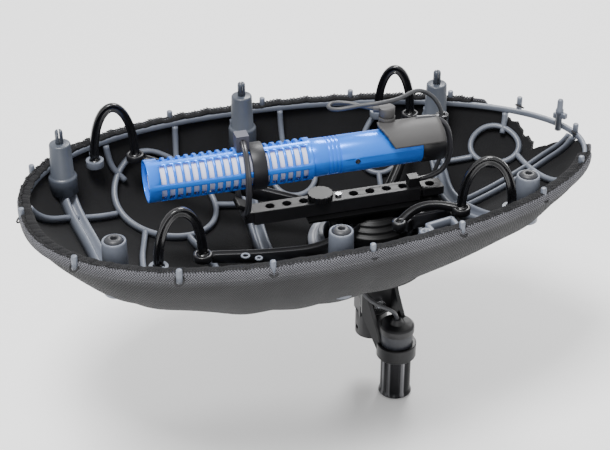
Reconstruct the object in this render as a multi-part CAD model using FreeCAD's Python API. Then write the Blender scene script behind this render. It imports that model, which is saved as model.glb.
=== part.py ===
"""Half of an egg-shaped microphone windshield with its floating suspension, a short shotgun
microphone, its lead and the swivel foot that screws onto a boom pole.

The model is laid out about the basket: X runs along it with the microphone's nose towards -X,
Y runs across it, and Z is up with 0 at the tops of the cover pins.  Every solid is moved at the
end so that the origin is the mouth of the swivel foot's threaded hole.
"""
import FreeCAD
import Part

import math
import os

V = FreeCAD.Vector
X_AXIS, Y_AXIS, Z_AXIS = V(1, 0, 0), V(0, 1, 0), V(0, 0, 1)

# ---------------------------------------------------------------- driving dimensions, mm
# Basket: inner face of its moulded frame
EGG_X = 2.0                # where the nose half meets the tail half
NOSE_HALF = 135.5          # from there to the nose end
TAIL_HALF = 175.0          # from there to the tail end
HALF_WIDTH = 80.5
DEPTH = 57.0               # from the pin tops to the flat of the belly
NOSE_POWER, TAIL_POWER = 2.35, 1.95      # roundness of the outline at each end
LENGTH_POWER, WIDTH_POWER = 1.95, 2.3    # roundness of the long and cross sections
FRAME_WALL = 3.5
LINER_GAP, LINER_WALL = 0.1, 0.6
COVER_GAP, COVER_WALL = 0.1, 1.2
RIM_TOP = -4.5             # top of the frame's rim below the pin tops
RIM_BAR = 5.0
RIB_WIDTH = 4.0
BEAM_WIDTH, BEAM_WALL, BEAM_RISE = 9.0, 2.4, 3.0
HEM_THICKNESS, HEM_INSIDE, HEM_FIT = 1.0, 1.0, 0.1
COVER_PIN_R, COVER_PIN_TOP = 1.5, 0.0
PIN_PLACES = [(-136, 0), (-125, 42), (-86, 71), (-41, 81), (14, 82), (66, 77), (122, 60), (158, 42),
              (176, 4), (164, -30), (131, -55), (78, -74), (28, -81), (-24, -82), (-70, -77),
              (-117, -51)]

# Posts that join the two halves of the basket
POST_R, POST_FOOT_R, POST_UPPER = 6.0, 8.0, 20.0
POST_PIN_R, POST_PIN_LENGTH, POST_PIN_SLOT = 2.2, 8.0, 1.0
SOCKET_R, SOCKET_BORE_R = 6.4, 4.9
BUSH_FLANGE, BUSH_HOLE_R, BUSH_DEPTH = 1.2, 1.6, 9.0
REAR_POSTS = {"left": (-110, 45, 10), "middle": (-2, 68, 12), "right": (111, 53, 11)}
FRONT_SOCKETS = {"left": (-97, -45, 1), "middle": (16, -68, 1), "right": (129, -43, 1)}
BEAM_ROUTES = {
    "left": [(-111, 76), (-110, 45), (-101, 10), (-97, -45), (-98, -82)],
    "middle": [(-2, 95), (-2, 68), (-5, 5), (-5, -60), (-5, -95)],
    "right": [(113, 84), (111, 53), (107, 14), (127, -40), (134, -72)],
}

# Belly opening, chassis and suspension hoops
OPENING_X, OPENING_Y, OPENING_R = 57.0, 6.0, 27.0
OPENING_WALL, FLOAT_GAP = 3.0, 3.2
SKIRT_WALL, SKIRT_DROP, SKIRT_FIT = 2.5, 14.0, 0.1
HOUSING_TOP, HOUSING_BOTTOM, HOUSING_WALL = -36.0, -77.0, 3.0
PAD_HALF_LENGTH = 21.0
SADDLE_X0, SADDLE_X1, SADDLE_HALF_WIDTH, SADDLE_WALL = 16.0, 94.0, 9.0, 1.6
ARM_WIDTH, ARM_THICKNESS = 6.0, 4.0
ARM_RING_R, ARM_RING_WALL, ARM_RING_HEIGHT = 3.2, 1.8, 4.0
HOOP_BAND, HOOP_WALL, HOOP_PLUG = 5.0, 2.6, 3.6
HOOP_FIT = 0.05
# basket foot, chassis foot and top height of each hoop, and the arm's way back to the housing
HOOPS = {
    "rear_left": dict(basket=(-90, 57.5), chassis=(-67, 58), foot_z=-11, top_z=23,
                      arm=[(-67, 58), (-40, 44), (-4, 30), (42, 12)]),
    "front_left": dict(basket=(-77, -57), chassis=(-53, -52), foot_z=-11, top_z=20,
                       arm=[(-53, -52), (-20, -47), (14, -38), (46, -5)]),
    "rear_right": dict(basket=(80, 66), chassis=(97, 58), foot_z=-9, top_z=24,
                       arm=[(97, 58), (90, 44), (80, 30), (68, 18)]),
    "front_right": dict(basket=(116, -53), chassis=(90, -46), foot_z=-11, top_z=20,
                        arm=[(90, -46), (80, -34), (64, -8)]),
}

# Rail, microphone and lyres
RAIL_X0, RAIL_X1, RAIL_END_X = -14.0, 82.0, 96.0
RAIL_TOP, RAIL_HEIGHT, RAIL_WIDTH, RAIL_FIT = -21.5, 8.0, 10.0, 0.3
RAIL_HOLE_R, RAIL_HOLE_PITCH = 2.4, 9.6
KNOB_X, KNOB_R, KNOB_HEIGHT, STUD_R = 25.0, 7.0, 3.4, 2.0
MIC_Z, MIC_R, MIC_BORE_R, MIC_FIT = 5.0, 10.5, 9.3, 0.05
MIC_NOSE_X, MIC_SPLIT_X, MIC_REAR_X = -71.5, 18.5, 82.0
SLOT_PITCH, SLOT_LENGTH, SLOT_FIRST_X, SLOT_COUNT, SLOT_WIDTH = 4.3, 2.7, -65.0, 19, 8.0
BAND_X, BAND_WIDTH, BAND_WALL = -11.5, 8.0, 2.6
SHELL_R, SHELL_X0, SHELL_X1 = 12.6, 60.0, 92.0
LYRE_WIRE_R, LYRE_FIT = 1.5, 0.25
LYRE_X, LYRE_HALF_Y, LYRE_HALF_Z = -19.0, 15.0, 23.0
REAR_LYRE_END = (83.5, 3, 18.5)       # bottom of the blind hole that takes its upper end
REAR_LYRE = [(84, 3, 18.5), (91, 2, 18.5), (97.5, 1, 14), (100, 0, 5), (100, -1, -6),
             (96.5, -1, -14), (89, 0, -18), (81, 0, -18.5)]

# Swivel foot, yoke and the output connector
FOOT_X, FOOT_Y, FOOT_MOUTH = 60.0, 10.0, -125.0
FOOT_R, FOOT_BOSS, KNUCKLE_R, KNUCKLE_WIDTH = 9.5, 16.0, 9.0, 12.0
THREAD_R, THREAD_LENGTH, INSERT_R = 4.2, 12.0, 6.5
PIVOT_Z, PIVOT_R, PIVOT_FIT = -98.0, 3.0, 0.05
WASHER_WALL, CHEEK_WALL, CHEEK_R = 1.0, 3.0, 10.0
XLR_X, XLR_Y, XLR_TOP = 67.0, -16.0, -103.6
XLR_R, XLR_CAP_R, XLR_LENGTH, XLR_WALL = 8.9, 10.1, 48.0, 1.6
COLLAR_WALL, COLLAR_HEIGHT, COLLAR_DROP, BRACKET_WALL = 2.7, 9.0, 13.0, 2.2
PLATE_TOP, PLATE_LOW, GUSSET_BROW, LEAD_HOLE_FIT = -80.0, -112.0, 4.0, 0.3

# Leads: outside diameter and the points of each route
LEAD_R, LEAD_FIT = 1.2, 0.05
PLUG_R, PLUG_RING, PLUG_BORE_R = 3.2, 2.0, 1.8
LEAD_MIC = [(58.5, 12.0, 23.5), (53.0, 14.0, 24.5), (46.5, 17.8, 25.5), (40.8, 20.6, 25.5),
            (36.2, 20.4, 25.2), (34.0, 16.4, 25.0), (37.0, 12.6, 25.4), (43.0, 10.8, 26.5),
            (50.0, 8.2, 28.5), (57.5, 5.2, 30.0), (65.8, 4.8, 30.5), (74.0, 9.0, 29.5),
            (82.0, 15.5, 28.5), (87.5, 18.5, 27.2), (93.0, 20.5, 24.0), (97.8, 20.0, 19.5),
            (100.7, 18.7, 14.0), (101.5, 18.0, 9.0)]
PLUG_TOP = 10.5
LEAD_LINK = [(101.5, 18.0, -4.0), (102.0, 17.8, -11.0), (101.0, 17.0, -18.0), (97.5, 15.5, -25.0),
             (92.0, 13.2, -31.0), (85.5, 10.5, -35.5), (79.5, 6.6, -38.5)]
LEAD_OUT = [(46.0, -9.0, -75.5), (47.0, -11.5, -81.5), (51.0, -14.8, -86.0), (56.5, -17.0, -89.3),
            (62.0, -17.5, -92.6), (65.8, -16.8, -96.8), (67.0, -16.0, -101.6)]

TO_FOOT = V(-FOOT_X, -FOOT_Y, -FOOT_MOUTH)


# ---------------------------------------------------------------- small helpers
def save(name, *solids):
    """Write one node's solids, moved so that the foot's mouth is the origin."""
    shape = solids[0] if len(solids) == 1 else Part.makeCompound(list(solids))
    shape = shape.copy()
    shape.translate(TO_FOOT)
    shape.exportStep("parts/%s.step" % name)
    print("%-24s solids %d  volume %9.1f  valid %s"
          % (name, len(shape.Solids), shape.Volume, shape.isValid()))


def box(x0, x1, y0, y1, z0, z1):
    return Part.makeBox(x1 - x0, y1 - y0, z1 - z0, V(x0, y0, z0))


def cyl(radius, start, end):
    """A cylinder of the given radius from one centre point to another."""
    start, end = V(*start), V(*end)
    return Part.makeCylinder(radius, (end - start).Length, start, end - start)


def ring(outer, inner, start, end):
    return cyl(outer, start, end).cut(cyl(inner, start, end))


def prism(points, height_vector):
    """Extrude a closed polygon of 3-D points along a vector."""
    corners = [V(*p) for p in points]
    return Part.Face(Part.makePolygon(corners + corners[:1])).extrude(V(*height_vector))


def strip(points, width, z0, z1):
    """A standing band of even width along a plan route, rounded at its points."""
    pieces = [cyl(width / 2, (x, y, z0), (x, y, z1)) for x, y in points]
    for (xa, ya), (xb, yb) in zip(points, points[1:]):
        along = V(xb - xa, yb - ya, 0)
        side = V(-along.y, along.x, 0).normalize() * (width / 2)
        a, b = V(xa, ya, z0), V(xb, yb, z0)
        pieces.append(prism([a + side, b + side, b - side, a - side], (0, 0, z1 - z0)))
    return pieces[0].multiFuse(pieces[1:]).removeSplitter()


def oval(cx, cy, half_x, half_y, z0, z1):
    """A standing elliptic cylinder."""
    major, minor = max(half_x, half_y), min(half_x, half_y)
    curve = Part.Ellipse(V(0, 0, z0), major, minor)
    face = Part.Face(Part.Wire(curve.toShape()))
    if half_y > half_x:
        face.rotate(V(0, 0, z0), Z_AXIS, 90)
    face.translate(V(cx, cy, 0))
    return face.extrude(V(0, 0, z1 - z0))


def route(points):
    """Straight runs joined by tangent arcs; prints the tightest radius and returns the wire."""
    p = [V(*q) for q in points]
    edges, start, radii = [], p[0], []
    for before, corner, after in zip(p, p[1:], p[2:]):
        u = (before - corner).normalize()
        w = (after - corner).normalize()
        half_turn = (math.pi - u.getAngle(w)) / 2
        reach = 0.45 * min((before - corner).Length, (after - corner).Length)
        radius = reach / math.tan(half_turn)
        radii.append(radius)
        a, b = corner + u * reach, corner + w * reach
        centre = corner + (u + w).normalize() * (radius / math.cos(half_turn))
        middle = centre + (corner - centre).normalize() * radius
        edges.append(Part.LineSegment(start, a).toShape())
        edges.append(Part.Arc(a, middle, b).toShape())
        start = b
    edges.append(Part.LineSegment(start, p[-1]).toShape())
    return Part.Wire(edges), min(radii)


def tube(name, points, radius):
    """A round tube along a route, checked against its section times its length."""
    wire, tightest = route(points)
    first = V(*points[1]) - V(*points[0])
    section = Part.Wire(Part.makeCircle(radius, V(*points[0]), first))
    solid = wire.makePipeShell([section], True, False)
    expected = math.pi * radius ** 2 * wire.Length
    print("%-24s length %.1f  tightest radius %.1f  volume ratio %.4f"
          % (name, wire.Length, tightest, solid.Volume / expected))
    return solid


# ---------------------------------------------------------------- the egg-shaped surfaces
LEVELS = (0.0, 0.16, 0.34, 0.52, 0.68, 0.81, 0.91, 0.97, 1.0)
ABOVE = 3.0                # how far the surfaces run on above the pin tops
FLAT_AT = 0.985            # the belly is cut flat at this share of its depth
LOWEST = -80.0             # below every part of the bowl
SCRAP = 20.0               # cut-offs smaller than this many cubic mm are dropped


def egg_level(fraction, power):
    return (1 - (FLAT_AT * fraction) ** power) ** (1 / power)


def egg_outline(grow, fraction):
    """One level outline: a superellipse with its own length and power on each half."""
    points = []
    for step in range(32):
        t = 2 * math.pi * step / 32
        c, s = math.cos(t), math.sin(t)
        half, power = (NOSE_HALF, NOSE_POWER) if c < 0 else (TAIL_HALF, TAIL_POWER)
        x = math.copysign(abs(c) ** (2 / power), c) * (half + grow) * egg_level(fraction, LENGTH_POWER)
        y = math.copysign(abs(s) ** (2 / power), s) * (HALF_WIDTH + grow)
        y *= egg_level(fraction, WIDTH_POWER)
        points.append(V(EGG_X + x, y, -fraction * (DEPTH + grow)))
    curve = Part.BSplineCurve()
    curve.interpolate(Points=points, PeriodicFlag=True)
    return Part.Wire(curve.toShape())


def egg(grow):
    """The solid bowl that lies grow outside the frame's inner face."""
    bowl = Part.makeLoft([egg_outline(grow, f) for f in LEVELS], True, False)
    top = Part.Face(egg_outline(grow, 0.0)).extrude(V(0, 0, ABOVE))
    return bowl.fuse(top)


def below_rim(shape, top=RIM_TOP):
    return shape.cut(box(-400, 400, -200, 200, top, 60))


FRAME_IN = egg(0.0)
FRAME_OUT = egg(FRAME_WALL)
LINER_IN = FRAME_WALL + LINER_GAP
COVER_IN = LINER_IN + LINER_WALL + COVER_GAP
COVER_OUT = COVER_IN + COVER_WALL
FRAME_SHELL = below_rim(FRAME_OUT.cut(FRAME_IN))
OPENING = cyl(OPENING_R, (OPENING_X, OPENING_Y, -90), (OPENING_X, OPENING_Y, -30))
OPENING_OUTSIDE = cyl(OPENING_R + OPENING_WALL, (OPENING_X, OPENING_Y, -90),
                      (OPENING_X, OPENING_Y, -30))


def oval_rib(cx, cy, half_x, half_y):
    top = RIM_TOP - RIM_BAR
    outer = oval(cx, cy, half_x, half_y, LOWEST, top)
    return outer.cut(oval(cx, cy, half_x - RIB_WIDTH, half_y - RIB_WIDTH, LOWEST, top))


def standing_ribs(routes):
    return [strip(points, RIB_WIDTH, LOWEST, RIM_TOP - RIM_BAR) for points in routes]


# ---------------------------------------------------------------- basket
def make_basket():
    rim = FRAME_SHELL.common(box(-400, 400, -200, 200, RIM_TOP - RIM_BAR, RIM_TOP))
    save("rim_ring", rim)

    posts, sockets, bushes, uprights = [], [], [], []
    for x, y, top in REAR_POSTS.values():
        shoulder = top - POST_UPPER
        foot = cyl(POST_FOOT_R, (x, y, LOWEST), (x, y, shoulder)).common(FRAME_OUT)
        upper = cyl(POST_R, (x, y, shoulder), (x, y, top))
        pin = cyl(POST_PIN_R, (x, y, top), (x, y, top + POST_PIN_LENGTH))
        half_slot = POST_PIN_SLOT / 2
        pin = pin.cut(box(x - half_slot, x + half_slot, y - 5, y + 5, top + 2, top + 20))
        posts.append(foot.fuse([upper, pin]).cut(rim))
        uprights.append(cyl(POST_FOOT_R, (x, y, LOWEST), (x, y, shoulder)))
    for x, y, top in FRONT_SOCKETS.values():
        outside = cyl(SOCKET_R, (x, y, LOWEST), (x, y, top)).common(FRAME_OUT)
        bore = cyl(SOCKET_BORE_R, (x, y, top - BUSH_DEPTH), (x, y, top + 1))
        sockets.append(outside.cut(bore).cut(rim))
        sleeve = cyl(SOCKET_BORE_R, (x, y, top - BUSH_DEPTH), (x, y, top))
        crown = cyl(SOCKET_BORE_R - 0.6, (x, y, top), (x, y, top + BUSH_FLANGE))
        bushes.append(sleeve.fuse(crown).cut(
            cyl(BUSH_HOLE_R, (x, y, top - BUSH_DEPTH + 1), (x, y, top + 5))))
        uprights.append(cyl(SOCKET_R, (x, y, LOWEST), (x, y, top)))
    save("locating_posts", *posts)
    save("post_sockets", *sockets)
    save("socket_bushes", *bushes)

    under_rim = RIM_TOP - RIM_BAR
    ridge_tops = egg(-BEAM_RISE)
    taken = uprights + [OPENING_OUTSIDE]
    for side, points in BEAM_ROUTES.items():
        wide = strip(points, BEAM_WIDTH, LOWEST, under_rim).cut(taken)
        groove = strip(points, BEAM_WIDTH - 2 * BEAM_WALL, LOWEST, under_rim)
        beam = FRAME_OUT.common(wide).cut(ridge_tops).cut(FRAME_IN.common(groove))
        save("beam_" + side, max(beam.Solids, key=lambda s: s.Volume))
        taken.append(strip(points, BEAM_WIDTH, LOWEST, under_rim))

    collar = OPENING_OUTSIDE.cut(OPENING).common(
        box(-400, 400, -200, 200, -DEPTH - FRAME_WALL, -DEPTH + 5))
    save("opening_collar", collar)

    ribs = {
        "ribs_nose": [oval_rib(-52, 52, 31, 24)] + standing_ribs([
            [(-148, 2), (-124, 19), (-111, 30), (-82, 43)], [(-88, 90), (-81, 66), (-73, 62)],
            [(-36, 95), (-41, 72)], [(-68, 33), (-75, 8), (-80, -40), (-86, -92)],
            [(-44, 31), (-34, 4), (-34, -95)], [(-24, 52), (-3, 50)]]),
        "ribs_middle": [oval_rib(27, 62, 15, 14), oval_rib(80, 60, 14, 13)] + standing_ribs([
            [(24, 95), (24, 74)], [(16, 52), (-3, 44)], [(34, 50), (42, 30)],
            [(76, 50), (72, 26)], [(92, 56), (110, 46)], [(48, -18), (44, -95)],
            [(36, -8), (-5, -20)], [(80, -10), (112, 6)], [(16, -46), (16, -95)]]),
        "ribs_tail": [oval_rib(143, 28, 16, 16)] + standing_ribs([
            [(149, 68), (146, 42)], [(128, 33), (109, 36)], [(150, 14), (158, -14), (162, -60)],
            [(190, 12), (150, 9), (108, 5)], [(190, 3), (150, 1), (108, -3)]]),
    }
    webs = []
    for name, plans in ribs.items():
        plan = plans[0].fuse(plans[1:])
        web = FRAME_OUT.common(plan.cut(taken)).cut(FRAME_IN)
        webs += [s for s in web.Solids if s.Volume > SCRAP]
        save(name, *[s for s in web.Solids if s.Volume > SCRAP])
        taken.append(plan)

    pins = []
    for x, y in PIN_PLACES:
        pin = cyl(COVER_PIN_R, (x, y, RIM_TOP), (x, y, COVER_PIN_TOP))
        pins.append(pin.makeChamfer(0.5, [e for e in pin.Edges if e.BoundBox.ZMin > COVER_PIN_TOP - 0.01]))
    save("cover_pins", *pins)

    tail_x = EGG_X + TAIL_HALF
    tail_pin = box(tail_x - 5.5, tail_x - 1.5, 12, 19, RIM_TOP, COVER_PIN_TOP + 11)
    save("tail_tongue", tail_pin)
    return rim, pins, tail_pin, webs


def tail_notch():
    """The corner at the tail where the cover is trimmed away from the frame."""
    start, end = V(150, 66, 0), V(196, -10, 0)
    along = end - start
    out = V(-along.y, along.x, 0).normalize() * -40
    low = V(178, 20, -24)
    return prism([start - out, end - out, low - out], (2 * out.x, 2 * out.y, 0))


def make_cover(rim, pins, tail_pin):
    notch = tail_notch()
    hole = cyl(OPENING_R + OPENING_WALL + SKIRT_FIT, (OPENING_X, OPENING_Y, -90),
               (OPENING_X, OPENING_Y, -30))
    liner = below_rim(egg(LINER_IN + LINER_WALL).cut(egg(LINER_IN))).cut([notch, hole])
    cover = below_rim(egg(COVER_OUT).cut(egg(COVER_IN))).cut([notch, hole])
    save("liner", max(liner.Solids, key=lambda s: s.Volume))
    save("cover", max(cover.Solids, key=lambda s: s.Volume))

    hem = egg(COVER_OUT).cut(egg(-HEM_INSIDE)).common(
        box(-400, 400, -200, 200, RIM_TOP, RIM_TOP + HEM_THICKNESS))
    keys = [cyl(COVER_PIN_R + HEM_FIT, (p.BoundBox.Center.x, p.BoundBox.Center.y, -20),
                (p.BoundBox.Center.x, p.BoundBox.Center.y, 20)) for p in pins]
    keys += [cyl(POST_R + HEM_FIT, (x, y, RIM_TOP - 1), (x, y, 0))
             for x, y, top in REAR_POSTS.values()]
    hem = hem.cut(keys + [notch, tail_pin])
    save("cover_hem", max(hem.Solids, key=lambda s: s.Volume))

    x, y = OPENING_X, OPENING_Y
    inner = OPENING_R + OPENING_WALL + SKIRT_FIT
    skirt = ring(inner + SKIRT_WALL, inner, (x, y, -DEPTH - SKIRT_DROP), (x, y, -DEPTH + 6))
    skirt = skirt.cut(egg(COVER_OUT + 0.1))
    save("cover_skirt", max(skirt.Solids, key=lambda s: s.Volume))


# ---------------------------------------------------------------- suspension hoops
def make_hoop(spec):
    """One arched band with a round plug at each foot, and the basket's socket for it."""
    (xb, yb), (xc, yc) = spec["basket"], spec["chassis"]
    foot_z, top_z = spec["foot_z"], spec["top_z"]
    centre = V((xb + xc) / 2, (yb + yc) / 2, foot_z)
    span = V(xc - xb, yc - yb, 0)
    half, height = span.Length / 2, top_z - foot_z
    angle = math.degrees(math.atan2(span.y, span.x))

    def arch(a, b):
        curve = Part.Ellipse(V(0, 0, 0), max(a, b), min(a, b))
        face = Part.Face(Part.Wire(curve.toShape()))
        if b > a:
            face.rotate(V(0, 0, 0), Z_AXIS, 90)
        return face.extrude(V(0, 0, HOOP_BAND))

    t = HOOP_WALL / 2
    band = arch(half + t, height).cut(arch(half - t, height - HOOP_WALL))
    band = band.cut(Part.makeBox(400, 400, 40, V(-200, -400, -10)))
    band.rotate(V(0, 0, 0), X_AXIS, 90)
    band.translate(V(0, HOOP_BAND / 2, 0))
    band.rotate(V(0, 0, 0), Z_AXIS, angle)
    band.translate(centre)
    plugs = [cyl(ARM_RING_R - HOOP_FIT, (x, y, foot_z - HOOP_PLUG), (x, y, foot_z))
             for x, y in ((xb, yb), (xc, yc))]
    hoop = band.fuse(plugs)
    ring_z = foot_z - HOOP_PLUG
    basket_ring = ring(ARM_RING_R + ARM_RING_WALL, ARM_RING_R,
                       (xb, yb, ring_z), (xb, yb, ring_z + ARM_RING_HEIGHT))
    reach = V(xb, yb, 0) + V(0, math.copysign(30, yb), 0)
    bracket = strip([(xb, yb), (reach.x, reach.y)], RIB_WIDTH, ring_z, RIM_TOP - RIM_BAR)
    bracket = bracket.cut(cyl(ARM_RING_R, (xb, yb, ring_z - 5), (xb, yb, ring_z + 9)))
    socket = basket_ring.fuse(bracket).common(FRAME_OUT)
    return hoop, max(socket.Solids, key=lambda s: s.Volume)


def make_arm(name, spec, housing):
    """A flat arm that runs down from its hoop ring to the chassis housing."""
    foot_z = spec["foot_z"] - HOOP_PLUG
    x, y = spec["chassis"]
    eye = ring(ARM_RING_R + ARM_RING_WALL, ARM_RING_R, (x, y, foot_z),
               (x, y, foot_z + ARM_RING_HEIGHT))
    points = spec["arm"]
    drops = [0.0]
    for a, b in zip(points, points[1:]):
        drops.append(drops[-1] + math.hypot(b[0] - a[0], b[1] - a[1]))
    end_z = HOUSING_TOP - 6.0
    levels = [foot_z + (end_z - foot_z) * (d / drops[-1]) for d in drops]
    pieces = [eye]
    for i in range(len(points) - 1):
        a = V(points[i][0], points[i][1], levels[i])
        b = V(points[i + 1][0], points[i + 1][1], levels[i + 1])
        side = V(-(b - a).y, (b - a).x, 0).normalize() * (ARM_WIDTH / 2)
        pieces.append(prism([a + side, b + side, b - side, a - side], (0, 0, ARM_THICKNESS)))
        if i:
            pieces.append(cyl(ARM_WIDTH / 2, a, a + V(0, 0, ARM_THICKNESS)))
    arm = pieces[0].fuse(pieces[1:])
    arm = arm.cut(cyl(ARM_RING_R, (x, y, foot_z - 20), (x, y, foot_z + 20))).cut(housing)
    arm = max(arm.Solids, key=lambda s: s.Volume)
    save("arm_" + name, arm)
    return arm


# ---------------------------------------------------------------- chassis, yoke and foot
def lead_bore(before, end, fit):
    """The hole that takes a lead's last straight run, 3 mm deeper than the lead's end."""
    before, end = V(*before), V(*end)
    return cyl(LEAD_R + fit, before, end + (end - before).normalize() * 3.0)


def make_chassis():
    x, y = OPENING_X, OPENING_Y
    r = OPENING_R - FLOAT_GAP
    drum = cyl(r, (x, y, HOUSING_BOTTOM), (x, y, HOUSING_TOP - 8))
    dome = Part.makeCone(r, r - 9, 8, V(x, y, HOUSING_TOP - 8), Z_AXIS)
    saddle_top = RAIL_TOP - RAIL_HEIGHT - RAIL_FIT
    pad = box(x - PAD_HALF_LENGTH, x + PAD_HALF_LENGTH, -7, 7, HOUSING_TOP - 10,
              saddle_top - SADDLE_WALL)
    cavity = cyl(r - HOUSING_WALL, (x, y, HOUSING_BOTTOM + HOUSING_WALL), (x, y, HOUSING_TOP - 11))
    housing = drum.fuse(dome).cut(cavity).fuse(pad.cut(cavity))
    gland_hole = lead_bore(LEAD_OUT[1], LEAD_OUT[0], LEAD_HOLE_FIT)
    link_hole = lead_bore(LEAD_LINK[-2], LEAD_LINK[-1], LEAD_FIT)
    housing = housing.cut([gland_hole, link_hole])
    save("chassis_housing", housing)
    save("saddle_plate", box(SADDLE_X0, SADDLE_X1, -SADDLE_HALF_WIDTH, SADDLE_HALF_WIDTH,
                             saddle_top - SADDLE_WALL, saddle_top))
    for name, spec in HOOPS.items():
        make_arm(name, spec, housing)
    return housing


def make_foot():
    fx, fy = FOOT_X, FOOT_Y
    top = FOOT_MOUTH + FOOT_BOSS
    boss = cyl(FOOT_R, (fx, fy, FOOT_MOUTH), (fx, fy, top))
    half = KNUCKLE_WIDTH / 2
    neck = box(fx - KNUCKLE_R, fx + KNUCKLE_R, fy - half, fy + half, top - 1, PIVOT_Z)
    eye = cyl(KNUCKLE_R, (fx, fy - half, PIVOT_Z), (fx, fy + half, PIVOT_Z))
    foot = boss.fuse([neck, eye])
    foot = foot.cut(cyl(PIVOT_R + PIVOT_FIT, (fx, fy - 30, PIVOT_Z), (fx, fy + 30, PIVOT_Z)))
    foot = foot.cut(cyl(INSERT_R, (fx, fy, FOOT_MOUTH), (fx, fy, FOOT_MOUTH + THREAD_LENGTH)))
    foot = foot.cut(cyl(1.4, (fx - 20, fy - 4, FOOT_MOUTH + 5), (fx - 7.2, fy - 1, FOOT_MOUTH + 5)))
    save("swivel_foot", foot)
    save("thread_insert", ring(INSERT_R, THREAD_R, (fx, fy, FOOT_MOUTH),
                               (fx, fy, FOOT_MOUTH + THREAD_LENGTH)))


def make_yoke():
    fx, fy = FOOT_X, FOOT_Y
    half = KNUCKLE_WIDTH / 2
    washer_y = half + 0.1
    cheek_y = washer_y + WASHER_WALL
    hole = cyl(PIVOT_R, (fx, fy - 40, PIVOT_Z), (fx, fy + 40, PIVOT_Z))
    base_z = HOUSING_BOTTOM - 3.0
    bridge = box(fx - CHEEK_R, fx + CHEEK_R, fy - cheek_y - CHEEK_WALL, fy + cheek_y + CHEEK_WALL,
                 base_z, HOUSING_BOTTOM)
    yoke = bridge
    for sign in (-1, 1):
        inner, outer = sorted((fy + sign * cheek_y, fy + sign * (cheek_y + CHEEK_WALL)))
        cheek = box(fx - CHEEK_R, fx + CHEEK_R, inner, outer, PIVOT_Z, base_z)
        ear = cyl(CHEEK_R, (fx, inner, PIVOT_Z), (fx, outer, PIVOT_Z))
        yoke = yoke.fuse([cheek, ear])
    yoke = yoke.cut(hole).removeSplitter()
    save("yoke", yoke)

    washers = []
    for sign in (-1, 1):
        a, b = sorted((fy + sign * washer_y, fy + sign * cheek_y))
        washers.append(ring(7.0, PIVOT_R, (fx, a, PIVOT_Z), (fx, b, PIVOT_Z)))
    save("friction_washers", *washers)

    front = fy - cheek_y - CHEEK_WALL
    plate_front = front - BRACKET_WALL
    rear = fy + cheek_y + CHEEK_WALL
    bolt = cyl(PIVOT_R, (fx, plate_front, PIVOT_Z), (fx, rear + 4.5, PIVOT_Z))
    head = cyl(3.6, (fx, plate_front - 2.6, PIVOT_Z), (fx, plate_front, PIVOT_Z))
    key = cyl(1.6, (fx, plate_front - 3, PIVOT_Z), (fx, plate_front - 1.4, PIVOT_Z))
    save("pivot_bolt", bolt.fuse(head).cut(key))
    corners = []
    for step in range(6):
        a = math.radians(60 * step)
        corners.append((fx + 5.5 * math.cos(a), rear, PIVOT_Z + 5.5 * math.sin(a)))
    nut = prism(corners, (0, 4.0, 0))
    save("pivot_nut", nut.cut(hole))

    # Bracket for the output connector: a plate on the front cheek, two gussets and a collar
    top_z, collar_top = PLATE_TOP, XLR_TOP - COLLAR_DROP
    collar_low = collar_top - COLLAR_HEIGHT
    left, right = fx - CHEEK_R, fx + CHEEK_R
    bore = cyl(XLR_R, (XLR_X, XLR_Y, -200), (XLR_X, XLR_Y, -50))
    plate = box(left, right, plate_front, front, PLATE_LOW, top_z)
    gussets = []
    for x0, x1, wall in ((left, XLR_X - XLR_R - COLLAR_WALL / 2, BRACKET_WALL),
                         (right, XLR_X + XLR_R, -BRACKET_WALL)):
        brow = x0 + (x1 - x0) * GUSSET_BROW / (plate_front - XLR_Y)
        gussets.append(prism([(x0, plate_front, top_z),
                              (brow, plate_front - GUSSET_BROW, top_z - 3 * GUSSET_BROW),
                              (x1, XLR_Y, collar_top), (x1, XLR_Y, collar_low),
                              (x0, plate_front, PLATE_LOW)], (wall, 0, 0)))
    web = prism([(left + 1, plate_front, PLATE_LOW), (left + 1, plate_front, PLATE_LOW + BRACKET_WALL),
                 (left + 1, XLR_Y + 2, collar_low + BRACKET_WALL), (left + 1, XLR_Y + 2, collar_low)],
                (right - left - 2, 0, 0))
    gussets.append(web)
    collar = cyl(XLR_R + COLLAR_WALL, (XLR_X, XLR_Y, collar_low), (XLR_X, XLR_Y, collar_top))
    clear = cyl(XLR_CAP_R + 0.4, (XLR_X, XLR_Y, collar_top), (XLR_X, XLR_Y, XLR_TOP + 2))
    bracket = plate.fuse(gussets + [collar]).cut([bore, clear, hole])
    save("connector_bracket", bracket.removeSplitter())


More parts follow.
